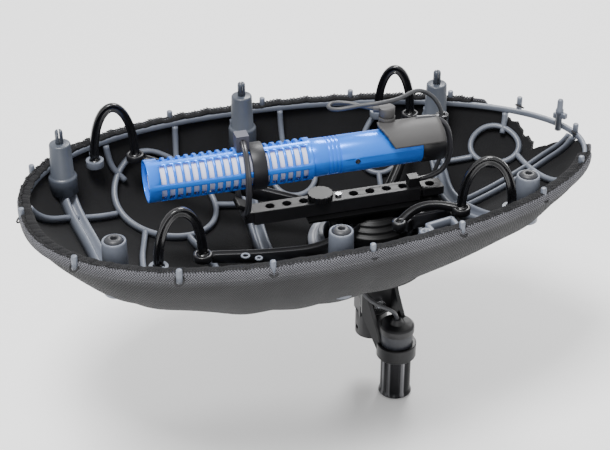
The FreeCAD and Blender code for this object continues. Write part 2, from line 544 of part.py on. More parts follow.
def make_connector():
    x, y = XLR_X, XLR_Y
    collar_top = XLR_TOP - COLLAR_DROP
    bottom = XLR_TOP - XLR_LENGTH
    outside = cyl(XLR_R, (x, y, bottom), (x, y, collar_top))
    lip = Part.makeCone(XLR_R + 0.9, XLR_R, 3.0, V(x, y, bottom), Z_AXIS)
    mouth = cyl(XLR_R - XLR_WALL, (x, y, bottom), (x, y, collar_top - 14))
    save("connector_barrel", outside.fuse(lip).cut(mouth))
    band = cyl(XLR_CAP_R - 0.6, (x, y, collar_top), (x, y, XLR_TOP - 5.0))
    save("connector_band", band)
    cap = cyl(XLR_CAP_R, (x, y, XLR_TOP - 5.0), (x, y, XLR_TOP))
    cap = cap.makeChamfer(1.2, [e for e in cap.Edges if e.BoundBox.ZMin > XLR_TOP - 0.01])
    boot = Part.makeCone(4.2, 2.4, 3.0, V(x, y, XLR_TOP), Z_AXIS)
    lead_hole = lead_bore(LEAD_OUT[-2], LEAD_OUT[-1], LEAD_FIT)
    save("connector_cap", cap.fuse(boot).cut(lead_hole))
    seat = cyl(XLR_R - XLR_WALL, (x, y, collar_top - 18), (x, y, collar_top - 14))
    disc_low = collar_top - 18
    save("connector_insert", seat)
    contacts = []
    for step in range(3):
        a = math.radians(90 + 120 * step)
        px, py = x + 4 * math.cos(a), y + 4 * math.sin(a)
        contacts.append(cyl(1.2, (px, py, disc_low - 11), (px, py, disc_low)))
    save("connector_contacts", *contacts)


# ---------------------------------------------------------------- rail and lyres
def front_lyre(radius):
    """The closed oval loop of springy wire that stands across the rail's front end."""
    wire = Part.Wire(Part.Ellipse(V(0, 0, 0), LYRE_HALF_Z, LYRE_HALF_Y).toShape())
    wire.rotate(V(0, 0, 0), Y_AXIS, 90)
    wire.translate(V(LYRE_X, 0, 0))
    section = Part.Wire(Part.makeCircle(radius, wire.Vertexes[0].Point, Y_AXIS))
    return wire.makePipeShell([section], True, False)


def make_rail():
    half = RAIL_WIDTH / 2
    low = RAIL_TOP - RAIL_HEIGHT
    bar = box(RAIL_X0, RAIL_X1, -half, half, low, RAIL_TOP)
    holes = [cyl(RAIL_HOLE_R, (KNOB_X + k * RAIL_HOLE_PITCH, 0, low - 1),
                 (KNOB_X + k * RAIL_HOLE_PITCH, 0, RAIL_TOP + 1)) for k in (-3, -2, -1, 2, 3, 4, 5)]
    stud_hole = cyl(STUD_R + 0.05, (KNOB_X, 0, low - 1), (KNOB_X, 0, RAIL_TOP + 1))
    bar = bar.cut(holes + [stud_hole])
    save("rail", bar)
    end = box(RAIL_X1 + 1.5, RAIL_END_X, -half, half, low + 2, RAIL_TOP - 1)
    tie = box(RAIL_X1, RAIL_X1 + 1.5, -3, 3, low + 2, low + 5)
    end = end.fuse(tie).cut(cyl(RAIL_HOLE_R, (RAIL_END_X - 7, 0, low), (RAIL_END_X - 7, 0, RAIL_TOP)))
    save("rail_end_piece", end)
    save("rail_screw", cyl(1.8, (KNOB_X + 10.5, 0, RAIL_TOP), (KNOB_X + 10.5, 0, RAIL_TOP + 1.4)))
    wing = cyl(KNOB_R, (KNOB_X, 0, RAIL_TOP + 0.3), (KNOB_X, 0, RAIL_TOP + 0.3 + KNOB_HEIGHT))
    flutes = []
    for step in range(16):
        a = math.radians(22.5 * step)
        fx, fy = KNOB_X + (KNOB_R + 0.5) * math.cos(a), (KNOB_R + 0.5) * math.sin(a)
        flutes.append(cyl(0.9, (fx, fy, RAIL_TOP), (fx, fy, RAIL_TOP + 10)))
    stud = cyl(STUD_R, (KNOB_X, 0, low + 0.5), (KNOB_X, 0, RAIL_TOP + 0.3))
    save("rail_knob", wing.cut(flutes).fuse(stud))

    # Shoes that hold the lyres on the rail
    shoe_x = RAIL_X0 - 5.0
    shoe = cyl(7.0, (shoe_x, -3.5, low + 4), (shoe_x, 3.5, low + 4))
    shoe = shoe.fuse(box(shoe_x, RAIL_X0, -3.5, 3.5, low, RAIL_TOP))
    lyre = front_lyre(LYRE_WIRE_R)
    save("lyre_front", lyre)
    save("lyre_shoe_front", shoe.cut([lyre, box(RAIL_X0, RAIL_X1, -half, half, low, RAIL_TOP)]))

    rear_lyre = tube("lyre_rear", REAR_LYRE, LYRE_WIRE_R)
    post = box(76, 82, -3, 3, RAIL_TOP, -16.0).cut(rear_lyre)
    save("lyre_rear", rear_lyre)
    save("lyre_shoe_rear", post)


# ---------------------------------------------------------------- microphone
def make_microphone(front_wire, rear_wire):
    def on_axis(x):
        return (x, 0, MIC_Z)

    tube_body = ring(MIC_R, MIC_BORE_R, on_axis(MIC_NOSE_X), on_axis(MIC_SPLIT_X))
    slots = []
    for i in range(SLOT_COUNT):
        x = SLOT_FIRST_X + i * SLOT_PITCH
        slot = box(x, x + SLOT_LENGTH, -SLOT_WIDTH / 2, SLOT_WIDTH / 2, -20, 40)
        for turn in (0, 60, 120):
            cutter = slot.copy()
            cutter.rotate(V(0, 0, MIC_Z), X_AXIS, turn + 30)
            slots.append(cutter)
    save("interference_tube", tube_body.cut(Part.makeCompound(slots)))
    screen = ring(MIC_BORE_R - MIC_FIT, MIC_BORE_R - MIC_FIT - 1.0,
                  on_axis(MIC_NOSE_X + 4), on_axis(MIC_SPLIT_X))
    save("acoustic_screen", screen)
    save("nose_grille", cyl(MIC_BORE_R, on_axis(MIC_NOSE_X + 2.5), on_axis(MIC_NOSE_X + 4)))

    body = cyl(MIC_R, on_axis(MIC_SPLIT_X), on_axis(MIC_REAR_X))
    hollow = cyl(MIC_BORE_R, on_axis(MIC_SPLIT_X), on_axis(MIC_REAR_X - 4))
    body = body.cut(hollow)
    for i in range(4):
        x = 27.0 + i * 2.2
        body = body.cut(ring(MIC_R + 1, MIC_R - 0.4, on_axis(x), on_axis(x + 0.8)))
    body = body.cut(cyl(1.5, (43, -20, MIC_Z), (43, -MIC_BORE_R, MIC_Z)))
    save("microphone_body", body)
    save("body_screw", cyl(1.5, (43, -MIC_R - 0.2, MIC_Z), (43, -MIC_BORE_R, MIC_Z)))
    x0, x1 = MIC_SPLIT_X + 2, MIC_SPLIT_X + 16
    save("capsule", cyl(MIC_BORE_R - 1.3, on_axis(x0), on_axis(x1)),
         ring(MIC_BORE_R, MIC_BORE_R - 1.3, on_axis(x0), on_axis(x1)))

    x0, x1 = BAND_X - BAND_WIDTH / 2, BAND_X + BAND_WIDTH / 2
    band = ring(MIC_R + BAND_WALL, MIC_R + MIC_FIT, on_axis(x0), on_axis(x1))
    save("microphone_clamp", band)
    top = MIC_Z + MIC_R
    clip = box(LYRE_X - 3.5, x0, -3.5, 3.5, top + 2.5, LYRE_HALF_Z + LYRE_WIRE_R + 1.5)
    foot = box(LYRE_X - 3.5, x0, -3.0, 3.0, top, top + 2.5)
    clip = clip.fuse(foot).cut(cyl(MIC_R, on_axis(-40), on_axis(10))).cut(front_wire)
    save("lyre_clip", max(clip.Solids, key=lambda s: s.Volume))

    sleeve = ring(SHELL_R, MIC_R + MIC_FIT, on_axis(SHELL_X0), on_axis(MIC_REAR_X))
    rear = cyl(SHELL_R, on_axis(MIC_REAR_X), on_axis(SHELL_X1))
    rear = rear.makeFillet(2.0, [e for e in rear.Edges if e.BoundBox.XMin > SHELL_X1 - 0.01])
    hump = box(SHELL_X0, SHELL_X1 - 4, -7, 7, MIC_Z + 8, MIC_Z + SHELL_R + 1.5)
    hump = hump.cut(cyl(MIC_R + MIC_FIT, on_axis(0), on_axis(SHELL_X1)))
    shell = sleeve.fuse([rear, hump])
    wedge = prism([(SHELL_X0 - 8, -30, MIC_Z + 9), (SHELL_X0 + 17, -30, MIC_Z - 6),
                   (MIC_REAR_X, -30, MIC_Z - 6), (MIC_REAR_X, -30, -40), (SHELL_X0 - 8, -30, -40)],
                  (0, 60, 0))
    shell = shell.cut(wedge.cut(cyl(MIC_R, on_axis(0), on_axis(MIC_REAR_X))))
    shell = max(shell.Solids, key=lambda s: s.Volume).cut(rear_wire)
    gland_low = MIC_Z + SHELL_R + 1.5
    gx, gy = 64.5, 6.0
    discs = [cyl(4.6, (gx, gy, gland_low - 4.5), (gx, gy, gland_low + 2)),
             cyl(3.6, (gx, gy, gland_low + 2), (gx, gy, gland_low + 3)),
             cyl(4.4, (gx, gy, gland_low + 3), (gx, gy, gland_low + 7.5))]
    nozzle = cyl(2.2, (gx, gy + 4, LEAD_MIC[0][2]), LEAD_MIC[0])
    gland = discs[0].fuse(discs[1:] + [nozzle]).cut(shell)
    gland = gland.cut(cyl(MIC_R, on_axis(0), on_axis(SHELL_X1)))
    save("connector_shell", shell)
    save("lead_gland", max(gland.Solids, key=lambda s: s.Volume))


def make_leads():
    save("lead_microphone", tube("lead_microphone", LEAD_MIC, LEAD_R))
    save("lead_link", tube("lead_link", LEAD_LINK, LEAD_R))
    save("lead_output", tube("lead_output", LEAD_OUT, LEAD_R))
    x, y, low = LEAD_LINK[0]
    body = cyl(PLUG_R, (x, y, low), (x, y, PLUG_TOP - PLUG_RING))
    collar = ring(PLUG_R + 0.4, PLUG_BORE_R, (x, y, PLUG_TOP - PLUG_RING), (x, y, PLUG_TOP))
    save("inline_plug", body, collar)


os.makedirs("parts", exist_ok=True)
RIM, PINS, TAIL, WEBS = make_basket()
make_cover(RIM, PINS, TAIL)
PAIRS = [make_hoop(spec) for spec in HOOPS.values()]
save("suspension_hoops", *[hoop for hoop, socket in PAIRS])
save("hoop_sockets", *[max(socket.cut([RIM] + WEBS).Solids, key=lambda s: s.Volume)
                       for hoop, socket in PAIRS])
make_chassis()
make_foot()
make_yoke()
make_connector()
make_rail()
make_microphone(front_lyre(LYRE_WIRE_R + LYRE_FIT),
                tube("rear lyre slot", [REAR_LYRE_END] + REAR_LYRE[1:], LYRE_WIRE_R + LYRE_FIT))
make_leads()
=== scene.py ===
"""Looks for the open half of an egg-shaped microphone windshield on its swivel foot.

Lengths in this file are millimetres about the basket, as on a maker's drawing: x runs from the
microphone's nose (-x) to the tail (+x), y across, z up with 0 at the tops of the cover pins.
placed() turns them into metres in the frame's own axes, with the origin in the foot's mouth.
"""
import math

import bpy
import numpy as np
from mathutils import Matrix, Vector


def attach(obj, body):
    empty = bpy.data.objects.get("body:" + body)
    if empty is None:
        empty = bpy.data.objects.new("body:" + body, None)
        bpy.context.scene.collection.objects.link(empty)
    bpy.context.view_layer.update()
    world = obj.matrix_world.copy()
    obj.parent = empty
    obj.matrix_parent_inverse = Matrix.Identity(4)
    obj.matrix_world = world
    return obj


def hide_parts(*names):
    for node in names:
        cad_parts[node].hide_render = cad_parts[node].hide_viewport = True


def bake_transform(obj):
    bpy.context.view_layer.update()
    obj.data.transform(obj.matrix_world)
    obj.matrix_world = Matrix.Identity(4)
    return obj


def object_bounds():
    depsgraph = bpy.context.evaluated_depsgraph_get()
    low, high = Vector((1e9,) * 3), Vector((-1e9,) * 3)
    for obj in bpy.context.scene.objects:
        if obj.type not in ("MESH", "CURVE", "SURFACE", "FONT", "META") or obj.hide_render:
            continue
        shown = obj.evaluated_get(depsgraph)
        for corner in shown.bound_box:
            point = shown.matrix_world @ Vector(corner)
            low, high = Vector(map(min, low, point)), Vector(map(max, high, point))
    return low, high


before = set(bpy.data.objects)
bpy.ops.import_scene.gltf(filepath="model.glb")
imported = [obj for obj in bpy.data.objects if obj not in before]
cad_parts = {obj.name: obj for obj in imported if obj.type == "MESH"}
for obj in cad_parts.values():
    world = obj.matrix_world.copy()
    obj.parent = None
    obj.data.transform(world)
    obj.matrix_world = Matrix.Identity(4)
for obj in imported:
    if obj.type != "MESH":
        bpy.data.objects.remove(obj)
CAD_BOX = [list(corner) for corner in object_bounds()]
FOOT_MOUTH = np.array([60.0, 10.0, -125.0])
TURN = 2 * math.pi


def placed(points):
    """Millimetres about the basket to metres in the frame: (p - foot mouth) / 1000."""
    return (np.asarray(points, float) - FOOT_MOUTH) / 1000.0


# ---------------------------------------------------------------- camera
camera = bpy.data.objects.new("camera", bpy.data.cameras.new("camera"))
bpy.context.scene.collection.objects.link(camera)
camera.data.sensor_width = 36.0
camera.data.lens = 94.4
camera.location = (-0.2506, -0.7314, 0.5656)
AIM = Vector((-0.060, -0.0666, 0.125))
camera.rotation_mode = "QUATERNION"
camera.rotation_quaternion = (AIM - camera.location).to_track_quat("-Z", "Y")
bpy.context.scene.camera = camera


# ---------------------------------------------------------------- materials
def srgb(code, alpha=1.0):
    """An sRGB hex colour as linear values: ((c + 0.055) / 1.055) ** 2.4."""
    parts = [int(code[i:i + 2], 16) / 255 for i in (1, 3, 5)]
    return [((c + 0.055) / 1.055) ** 2.4 if c > 0.04045 else c / 12.92 for c in parts] + [alpha]


def add(tree, kind, settings=None, **links):
    """Adds a node: settings are its own values, links are its inputs as values or sockets."""
    made = tree.nodes.new(kind)
    for key, value in (settings or {}).items():
        setattr(made, key, value)
    for key, value in links.items():
        socket = made.inputs[int(key[1:])] if key[0] == "i" and key[1:].isdigit() else made.inputs[
            key.replace("_", " ")]
        if isinstance(value, bpy.types.NodeSocket):
            tree.links.new(value, socket)
        else:
            socket.default_value = value
    return made


def material(name, colour, roughness, metallic=0.0, coat=0.0, coat_roughness=0.1, sheen=0.0,
             specular=0.5):
    """A material with its shader's uniform values set; returns it, its tree and its shader."""
    made = bpy.data.materials.new(name)
    made.use_nodes = True
    tree = made.node_tree
    shader = tree.nodes["Principled BSDF"]
    shader.inputs["Base Color"].default_value = srgb(colour)
    shader.inputs["Roughness"].default_value = roughness
    shader.inputs["Metallic"].default_value = metallic
    shader.inputs["Coat Weight"].default_value = coat
    shader.inputs["Coat Roughness"].default_value = coat_roughness
    shader.inputs["Sheen Weight"].default_value = sheen
    shader.inputs["Specular IOR Level"].default_value = specular
    made.diffuse_color = srgb(colour)
    return made, tree, shader


def grained(name, colour, other, roughness, grain_mm, relief_mm, **uniform):
    """A moulded or machined surface: two near colours mixed by soft noise, and a fine relief."""
    made, tree, shader = material(name, colour, roughness, **uniform)
    place = add(tree, "ShaderNodeTexCoord")
    cloud = add(tree, "ShaderNodeTexNoise", Vector=place.outputs["Object"], Scale=45.0, Detail=3.0)
    ramp = add(tree, "ShaderNodeMapRange", Value=cloud.outputs[0], From_Min=0.35, From_Max=0.65)
    mix = add(tree, "ShaderNodeMix", {"data_type": "RGBA"}, Factor=ramp.outputs[0],
              i6=srgb(colour), i7=srgb(other))
    tree.links.new(mix.outputs[2], shader.inputs["Base Color"])
    fine = add(tree, "ShaderNodeTexNoise", Vector=place.outputs["Object"],
               Scale=1000.0 / grain_mm, Detail=2.0)
    bump = add(tree, "ShaderNodeBump", Height=fine.outputs[0], Strength=0.6,
               Distance=relief_mm / 1000)
    tree.links.new(bump.outputs[0], shader.inputs["Normal"])
    return made


def woven(name, colour, hollow, pitch_mm, relief_mm, roughness, sheen, lit_top=None):
    """Cloth: height = sin(a) sin(b) along and across its own UV map, whose unit is one metre and
    pitch_mm one turn; painted shade darkens the hollows, with a soft uneven wash. The last colour,
    when given, is painted light: a lighter tone of the yarn in the top 9 mm, where the cloth
    turns over the rim."""
    made, tree, shader = material(name, colour, roughness, sheen=sheen, specular=0.25)
    across = add(tree, "ShaderNodeSeparateXYZ", Vector=add(tree, "ShaderNodeUVMap").outputs[0])
    turns = TURN * 1000 / pitch_mm
    both = []
    for side in (0, 1):
        phase = add(tree, "ShaderNodeMath", {"operation": "MULTIPLY"}, i0=across.outputs[side], i1=turns)
        both.append(add(tree, "ShaderNodeMath", {"operation": "SINE"}, i0=phase.outputs[0]))
    weave = add(tree, "ShaderNodeMath", {"operation": "MULTIPLY"}, i0=both[0].outputs[0],
                i1=both[1].outputs[0])
    share = add(tree, "ShaderNodeMapRange", Value=weave.outputs[0], From_Min=-0.5, From_Max=0.5)
    place = add(tree, "ShaderNodeTexCoord")
    yarn = srgb(colour)
    # Painted light: the yarn colour is lightened over the top 9 mm, where the cloth turns over the rim
    if lit_top:
        height = add(tree, "ShaderNodeSeparateXYZ", Vector=place.outputs["Object"])
        near = add(tree, "ShaderNodeMapRange", Value=height.outputs[2], From_Min=0.1115,
                   From_Max=0.1205)
        blend = add(tree, "ShaderNodeMix", {"data_type": "RGBA"}, Factor=near.outputs[0],
                    i6=srgb(colour), i7=srgb(lit_top))
        yarn = blend.outputs[2]
    # Painted shade: where the weave sinks, its colour is darkened as shade between the threads
    mix = add(tree, "ShaderNodeMix", {"data_type": "RGBA"}, Factor=share.outputs[0],
              i6=srgb(hollow), i7=yarn)
    wash = add(tree, "ShaderNodeTexNoise", Vector=place.outputs["Object"], Scale=60.0, Detail=4.0)
    shade = add(tree, "ShaderNodeMapRange", Value=wash.outputs[0], From_Min=0.3, From_Max=0.7,
                To_Min=0.86, To_Max=1.08)
    tone = add(tree, "ShaderNodeVectorMath", {"operation": "SCALE"}, i0=mix.outputs[2],
               Scale=shade.outputs[0])
    tree.links.new(tone.outputs[0], shader.inputs["Base Color"])
    bump = add(tree, "ShaderNodeBump", Height=weave.outputs[0], Strength=1.0,
               Distance=relief_mm / 1000)
    tree.links.new(bump.outputs[0], shader.inputs["Normal"])
    return made


# Glass-filled nylon, moulded: bluish grey, satin, edges catch a soft highlight
NYLON = grained("glass filled nylon moulded", "#6c717b", "#626772", 0.38, 0.6, 0.03)
# The flange round the opening: the same nylon, paler and smoother from its mould
PALE_NYLON = grained("glass filled nylon polished", "#a4a8b0", "#999da6", 0.3, 0.6, 0.02)
# The same nylon in black, for the chassis and its arms: darker, a little glossier
BLACK_NYLON = grained("black nylon moulded", "#141416", "#1b1b1e", 0.36, 0.5, 0.03)
# The housing's drum: deep black moulding, semi gloss
DRUM = grained("deep black nylon moulded", "#070708", "#0b0b0c", 0.42, 0.5, 0.02, specular=0.22)
# Posts: the frame's nylon, given a darker colour
POST_NYLON = grained("glass filled nylon slate", "#4c515a", "#444952", 0.36, 0.6, 0.03)
# Thermoplastic polyester hoop: glossy black, smooth
HOOP = grained("black polyester hoop moulded", "#0d0d0f", "#141417", 0.24, 0.8, 0.01, coat=0.25)
# Aluminium, machined and black anodised: satin, fine grit
ALLOY = grained("aluminium black anodised", "#1a1a1c", "#212124", 0.38, 0.35, 0.015)
def reflection_streaked(name, dark, light, roughness, metallic):
    """Metal with painted reflections: light streaks along z, from a noise squeezed 60 times in height."""
    made, tree, shader = material(name, dark, roughness, metallic=metallic)
    place = add(tree, "ShaderNodeTexCoord")
    squeeze = add(tree, "ShaderNodeMapping", Vector=place.outputs["Object"], Scale=(180, 180, 3))
    cloud = add(tree, "ShaderNodeTexNoise", Vector=squeeze.outputs[0], Scale=1.6, Detail=3.0)
    share = add(tree, "ShaderNodeMapRange", Value=cloud.outputs[0], From_Min=0.48, From_Max=0.66)
    # Painted reflection: the light colour laid in streaks along z stands in for reflections
    mix = add(tree, "ShaderNodeMix", {"data_type": "RGBA"}, Factor=share.outputs[0],
              i6=srgb(dark), i7=srgb(light))
    tree.links.new(mix.outputs[2], shader.inputs["Base Color"])
    return made


# Plated zinc connector shell: near black, with long light streaks painted in as reflections
GLOSS = reflection_streaked("zinc shell black plated", "#1b1b1d", "#77777a", 0.26, 0.85)
# Bracket: black anodised sheet, semi gloss
SHEET_ALLOY = grained("aluminium sheet black anodised", "#1c1c1e", "#161618", 0.28, 0.5, 0.006,
                      metallic=0.3)
# Identification band: plain grey polypropylene
BAND = grained("grey polypropylene band", "#2a2c33", "#23252b", 0.35, 0.5, 0.02)
# Aluminium, blasted and blue anodised: bright saturated metal with wide soft highlights
BLUE = grained("aluminium blue anodised", "#2f88ff", "#277ffb", 0.24, 0.3, 0.006, metallic=0.35)
# Nonwoven acoustic screen behind the slots: white, matt
SCREEN = grained("white acoustic screen cloth", "#f3f3f8", "#e6e6f0", 0.8, 0.5, 0.05, sheen=0.2)
# Silicone rubber clamp band: violet black, matt
SILICONE = grained("silicone clamp moulded", "#15151b", "#111116", 0.45, 0.6, 0.02)
# Clip over the clamp: grey violet nylon
CLIP = grained("grey violet nylon clip", "#4a4b58", "#424350", 0.45, 0.5, 0.02)
# Polycarbonate blend housing of the microphone's plug: warm dark grey, fine texture
WARM = grained("warm grey housing textured", "#4b4a4a", "#444343", 0.55, 0.35, 0.05)
# Soft rubber bush: dark grey, matt
RUBBER = grained("grey rubber bush", "#36373b", "#2d2e32", 0.45, 0.5, 0.02)
# Lead jacket: extruded soft vinyl, mid grey, satin
JACKET = grained("vinyl lead jacket extruded", "#3d3e41", "#35363a", 0.42, 0.7, 0.01)
# Springy acetal lyre: dark grey, smooth
ACETAL = grained("acetal lyre moulded", "#3a3a3e", "#303034", 0.3, 0.8, 0.008, coat=0.2)
# Steel fasteners: bright, machined
STEEL = grained("stainless steel machined", "#d9dade", "#c8c9cd", 0.22, 0.3, 0.004, metallic=1.0)
# Brass insert and contacts, machined
BRASS = grained("brass machined", "#c9a45a", "#bb9550", 0.3, 0.3, 0.004, metallic=1.0)
# Blank printed label: silver grey paper under film
LABEL = grained("silver label film", "#b9bbc0", "#aeb0b6", 0.35, 0.8, 0.003)
# Polyester cover, twill woven: 1.5 mm from thread to thread, painted light makes it lighter over the rim
COVER = woven("polyester twill woven", "#3f3f40", "#1d1d1e", 1.5, 0.12, 0.85, 0.05, "#74747a")
# The folded hem: the same yarn in a tighter, darker tape
HEM = woven("hem tape woven", "#1d1d20", "#0a0a0b", 1.3, 0.15, 0.9, 0.05)
# Knitted lining, black, very matt
LINING = woven("polyester lining knitted", "#1d1d1f", "#101011", 1.0, 0.04, 0.95, 0.05)
# Sewing thread, black polyester
THREAD = grained("polyester thread", "#121214", "#19191b", 0.7, 0.4, 0.02)


# ---------------------------------------------------------------- meshes
def mesh(name, vertices, faces, paint, body, uv=None, stands_for=(), slot=None, blended=None):
    """One object from millimetre vertices and faces, riding on a body, or, when blended is given,
    left unparented with its transform baked.
    """
    data = bpy.data.meshes.new(name)
    data.from_pydata(placed(vertices).tolist(), [], [list(f) for f in faces])
    if uv is not None:
        layer = data.uv_layers.new(name="cloth")
        layer.data.foreach_set("uv", np.asarray(uv, np.float32).ravel())
    data.polygons.foreach_set("use_smooth", np.ones(len(data.polygons), bool))
    data.materials.append(paint)
    data.update()
    made = bpy.data.objects.new(name, data)
    bpy.context.scene.collection.objects.link(made)
    if blended:
        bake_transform(made)
    else:
        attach(made, body)
    if stands_for:
        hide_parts(*stands_for)
    return made


def sheet_faces(rows, columns, closed_rows=False, closed_columns=False, start=0):
    """Quads of a grid whose vertex (i, j) is start + i columns + j; either way round may close."""
    i, j = np.meshgrid(np.arange(rows if closed_rows else rows - 1),
                       np.arange(columns if closed_columns else columns - 1), indexing="ij")
    i, j = i.ravel(), j.ravel()
    i2, j2 = (i + 1) % rows, (j + 1) % columns
    return start + np.stack([i * columns + j, i * columns + j2, i2 * columns + j2,
                             i2 * columns + j], 1)


def joined(parts):
    """Several (vertices, faces) as one."""
    vertices, faces, count = [], [], 0
    for v, f in parts:
        vertices.append(np.asarray(v, float))
        faces += [[int(k) + count for k in face] for face in f]
        count += len(v)
    return np.vstack(vertices), faces


def unit(v):
    return v / np.maximum(np.linalg.norm(v, axis=-1, keepdims=True), 1e-9)


def tangents(path, closed=False):
    """Central differences along a path, one-sided at open ends."""
    if closed:
        return unit(np.roll(path, -1, 0) - np.roll(path, 1, 0))
    return unit(np.gradient(path, axis=0))


def swept(path, up, section, closed=False):
    """A section (across, up) carried along a path: point + across (tangent x up) + up' height,
    where up' is the up vector made square to the tangent. Open ends are capped."""
    path, section = np.asarray(path, float), np.asarray(section, float)
    along = tangents(path, closed)
    up = np.broadcast_to(np.asarray(up, float), path.shape)
    up = unit(up - along * (along * up).sum(1, keepdims=True))
    across = np.cross(along, up)
    vertices = (path[:, None] + section[None, :, :1] * across[:, None]
                + section[None, :, 1:] * up[:, None]).reshape(-1, 3)
    rows, columns = len(path), len(section)
    faces = sheet_faces(rows, columns, closed, True).tolist()
    if not closed:
        faces += [list(range(columns))[::-1], list(range((rows - 1) * columns, rows * columns))]
    return vertices, faces


def rolled(profile, centre, axis=(0, 0, 1), sides=40):
    """A profile of (radius, height) turned about an axis through a centre; both ends closed."""
    profile = np.asarray(profile, float)
    axis = unit(np.array(axis, float))
    side = unit(np.cross(axis, (0.31, 0.95, 0.1)))
    other = np.cross(axis, side)
    a = np.arange(sides) / sides * TURN
    ringed = np.cos(a)[:, None] * side + np.sin(a)[:, None] * other
    vertices = (np.asarray(centre, float) + profile[:, None, 1:] * axis
                + profile[:, None, :1] * ringed[None]).reshape(-1, 3)
    faces = sheet_faces(len(profile), sides, False, True).tolist()
    faces += [list(range(sides))[::-1], list(range((len(profile) - 1) * sides, len(profile) * sides))]
    return vertices, faces


def block(centre, half, turn=0.0, soft=0.18):
    """A box with softened corners: a superellipsoid of power 8, turned about z."""
    u = np.linspace(0, TURN, 25)[:-1]
    v = np.linspace(-math.pi / 2, math.pi / 2, 13)
    power = soft
    cu, su = np.cos(u), np.sin(u)
    cv, sv = np.cos(v), np.sin(v)
    bend = lambda w: np.sign(w) * np.abs(w) ** power
    x = bend(cv)[:, None] * bend(cu)[None] * half[0]
    y = bend(cv)[:, None] * bend(su)[None] * half[1]
    z = (bend(sv)[:, None] * np.ones_like(u)[None]) * half[2]
    c, s = math.cos(turn), math.sin(turn)
    vertices = np.stack([x * c - y * s, x * s + y * c, z], -1).reshape(-1, 3) + np.asarray(centre)
    faces = sheet_faces(13, 24, False, True).tolist()
    return vertices, faces


def circle(radius, count=12, squash=1.0):
    a = -np.arange(count) / count * TURN
    return np.stack([np.cos(a) * radius, np.sin(a) * radius * squash], 1)


def spread(path, step):
    """The path again with points every step along its length."""
    path = np.asarray(path, float)
    run = np.concatenate([[0], np.cumsum(np.linalg.norm(np.diff(path, axis=0), axis=1))])
    count = max(3, int(round(run[-1] / step)) + 1)
    at = np.linspace(0, run[-1], count)
    return np.stack([np.interp(at, run, path[:, k]) for k in range(path.shape[1])], 1)


def spline(points, per=12):
    """Clamped quadratic B-spline through given points as its poles, straight at both ends:
    each span is (1-s)^2/2 a + (1/2 + s - s^2) b + s^2/2 c."""
    p = np.asarray(points, float)
    p = np.vstack([2 * p[0] - p[1], p, 2 * p[-1] - p[-2]])
    s = np.linspace(0, 1, per, endpoint=False)[:, None]
    spans = [(1 - s) ** 2 / 2 * a + (0.5 + s - s * s) * b + s * s / 2 * c
             for a, b, c in zip(p, p[1:], p[2:])]
    return np.vstack(spans + [p[None, -2] / 2 + p[None, -1] / 2])


# ---------------------------------------------------------------- the egg-shaped surfaces
def level(f, power):
    return (1 - (0.985 * f) ** power) ** (1 / power)


def bowl(t, f, grow):
    """A point at turn t and share f of the depth, grow outside the frame's inner face: each level
    is a superellipse with its own half length and power at the nose and at the tail."""
    c, s = np.cos(t), np.sin(t)
    power = np.where(c < 0, 2.35, 1.95)
    half = np.where(c < 0, 135.5, 175.0) + grow
    x = 2 + np.sign(c) * np.abs(c) ** (2 / power) * half * level(f, 1.95)
    y = np.sign(s) * np.abs(s) ** (2 / power) * (80.5 + grow) * level(f, 2.3)
    return np.stack([x, y, -f * (57 + grow)], -1)


def depth(x, y, grow):
    """Share of the depth where the surface passes over a plan point: the f whose level outline
    holds it, found by halving; 0 outside the rim and 1 on the flat belly."""
    x, y = np.asarray(x, float), np.asarray(y, float)
    power = np.where(x < 2, 2.35, 1.95)
    half = np.where(x < 2, 135.5, 175.0) + grow
    low, high = np.zeros_like(x), np.ones_like(x)
    for _ in range(26):
        f = (low + high) / 2
        inside = (np.abs(x - 2) / (half * level(f, 1.95))) ** power + (
            np.abs(y) / ((80.5 + grow) * level(f, 2.3))) ** power < 1
        low, high = np.where(inside, f, low), np.where(inside, high, f)
    return np.where(high > 0.9999, 1.0, low)


def over(plan, grow):
    """Plan points lifted onto the surface."""
    plan = np.asarray(plan, float)
    return np.column_stack([plan, -depth(plan[:, 0], plan[:, 1], grow) * (57 + grow)])


def inward(points, grow):
    """The surface's unit normal, towards the inside: (-dz/dx, -dz/dy, 1) by small differences."""
    e = 0.3
    z = lambda dx, dy: -depth(points[:, 0] + dx, points[:, 1] + dy, grow) * (57 + grow)
    return unit(np.column_stack([(z(-e, 0) - z(e, 0)) / (2 * e), (z(0, -e) - z(0, e)) / (2 * e),
                                 np.ones(len(points))]))


OPENING = np.array([57.0, 6.0])
OPENING_R = 30.1
PINS = np.array([(-136, 0), (-125, 42), (-86, 71), (-41, 81), (14, 82), (66, 77), (122, 60),
                 (158, 42), (176, 4), (164, -30), (131, -55), (78, -74), (28, -81), (-24, -82),
                 (-70, -77), (-117, -51)], float)

# Plan routes of the frame's bars: (points, closed)
RIBS = {
    "ribs_nose": [[(-148, 2), (-124, 19), (-111, 30), (-82, 43)], [(-88, 90), (-81, 66), (-73, 62)],
                  [(-36, 95), (-41, 72)], [(-68, 33), (-75, 8), (-80, -40), (-86, -92)],
                  [(-44, 31), (-34, 4), (-34, -95)], [(-24, 52), (-3, 50)]],
    "ribs_middle": [[(24, 95), (24, 74)], [(16, 52), (-3, 44)], [(34, 50), (42, 30)],
                    [(76, 50), (72, 26)], [(92, 56), (110, 46)], [(48, -18), (44, -95)],
                    [(36, -8), (-5, -20)], [(80, -10), (112, 6)], [(16, -46), (16, -95)]],
    "ribs_tail": [[(152, 68), (151, 42), (147.5, 37)], [(129, 36), (108, 43)],
                  [(151, 24), (156.5, -1), (162, -30), (162, -60)],
                  [(190, 7.5), (177, 6.7), (163, 12), (146.5, 12.3), (106, 10)],
                  [(190, 2.5), (177, 2.9), (163, 7.4), (146.5, 7.7), (106, 5)]],
}
OVALS = {"ribs_nose": [(-52, 52, 31, 24)], "ribs_middle": [(27, 62, 15, 14), (80, 60, 14, 13)],
         "ribs_tail": [(141.8, 33.8, 16.5, 10.2, -0.70)]}
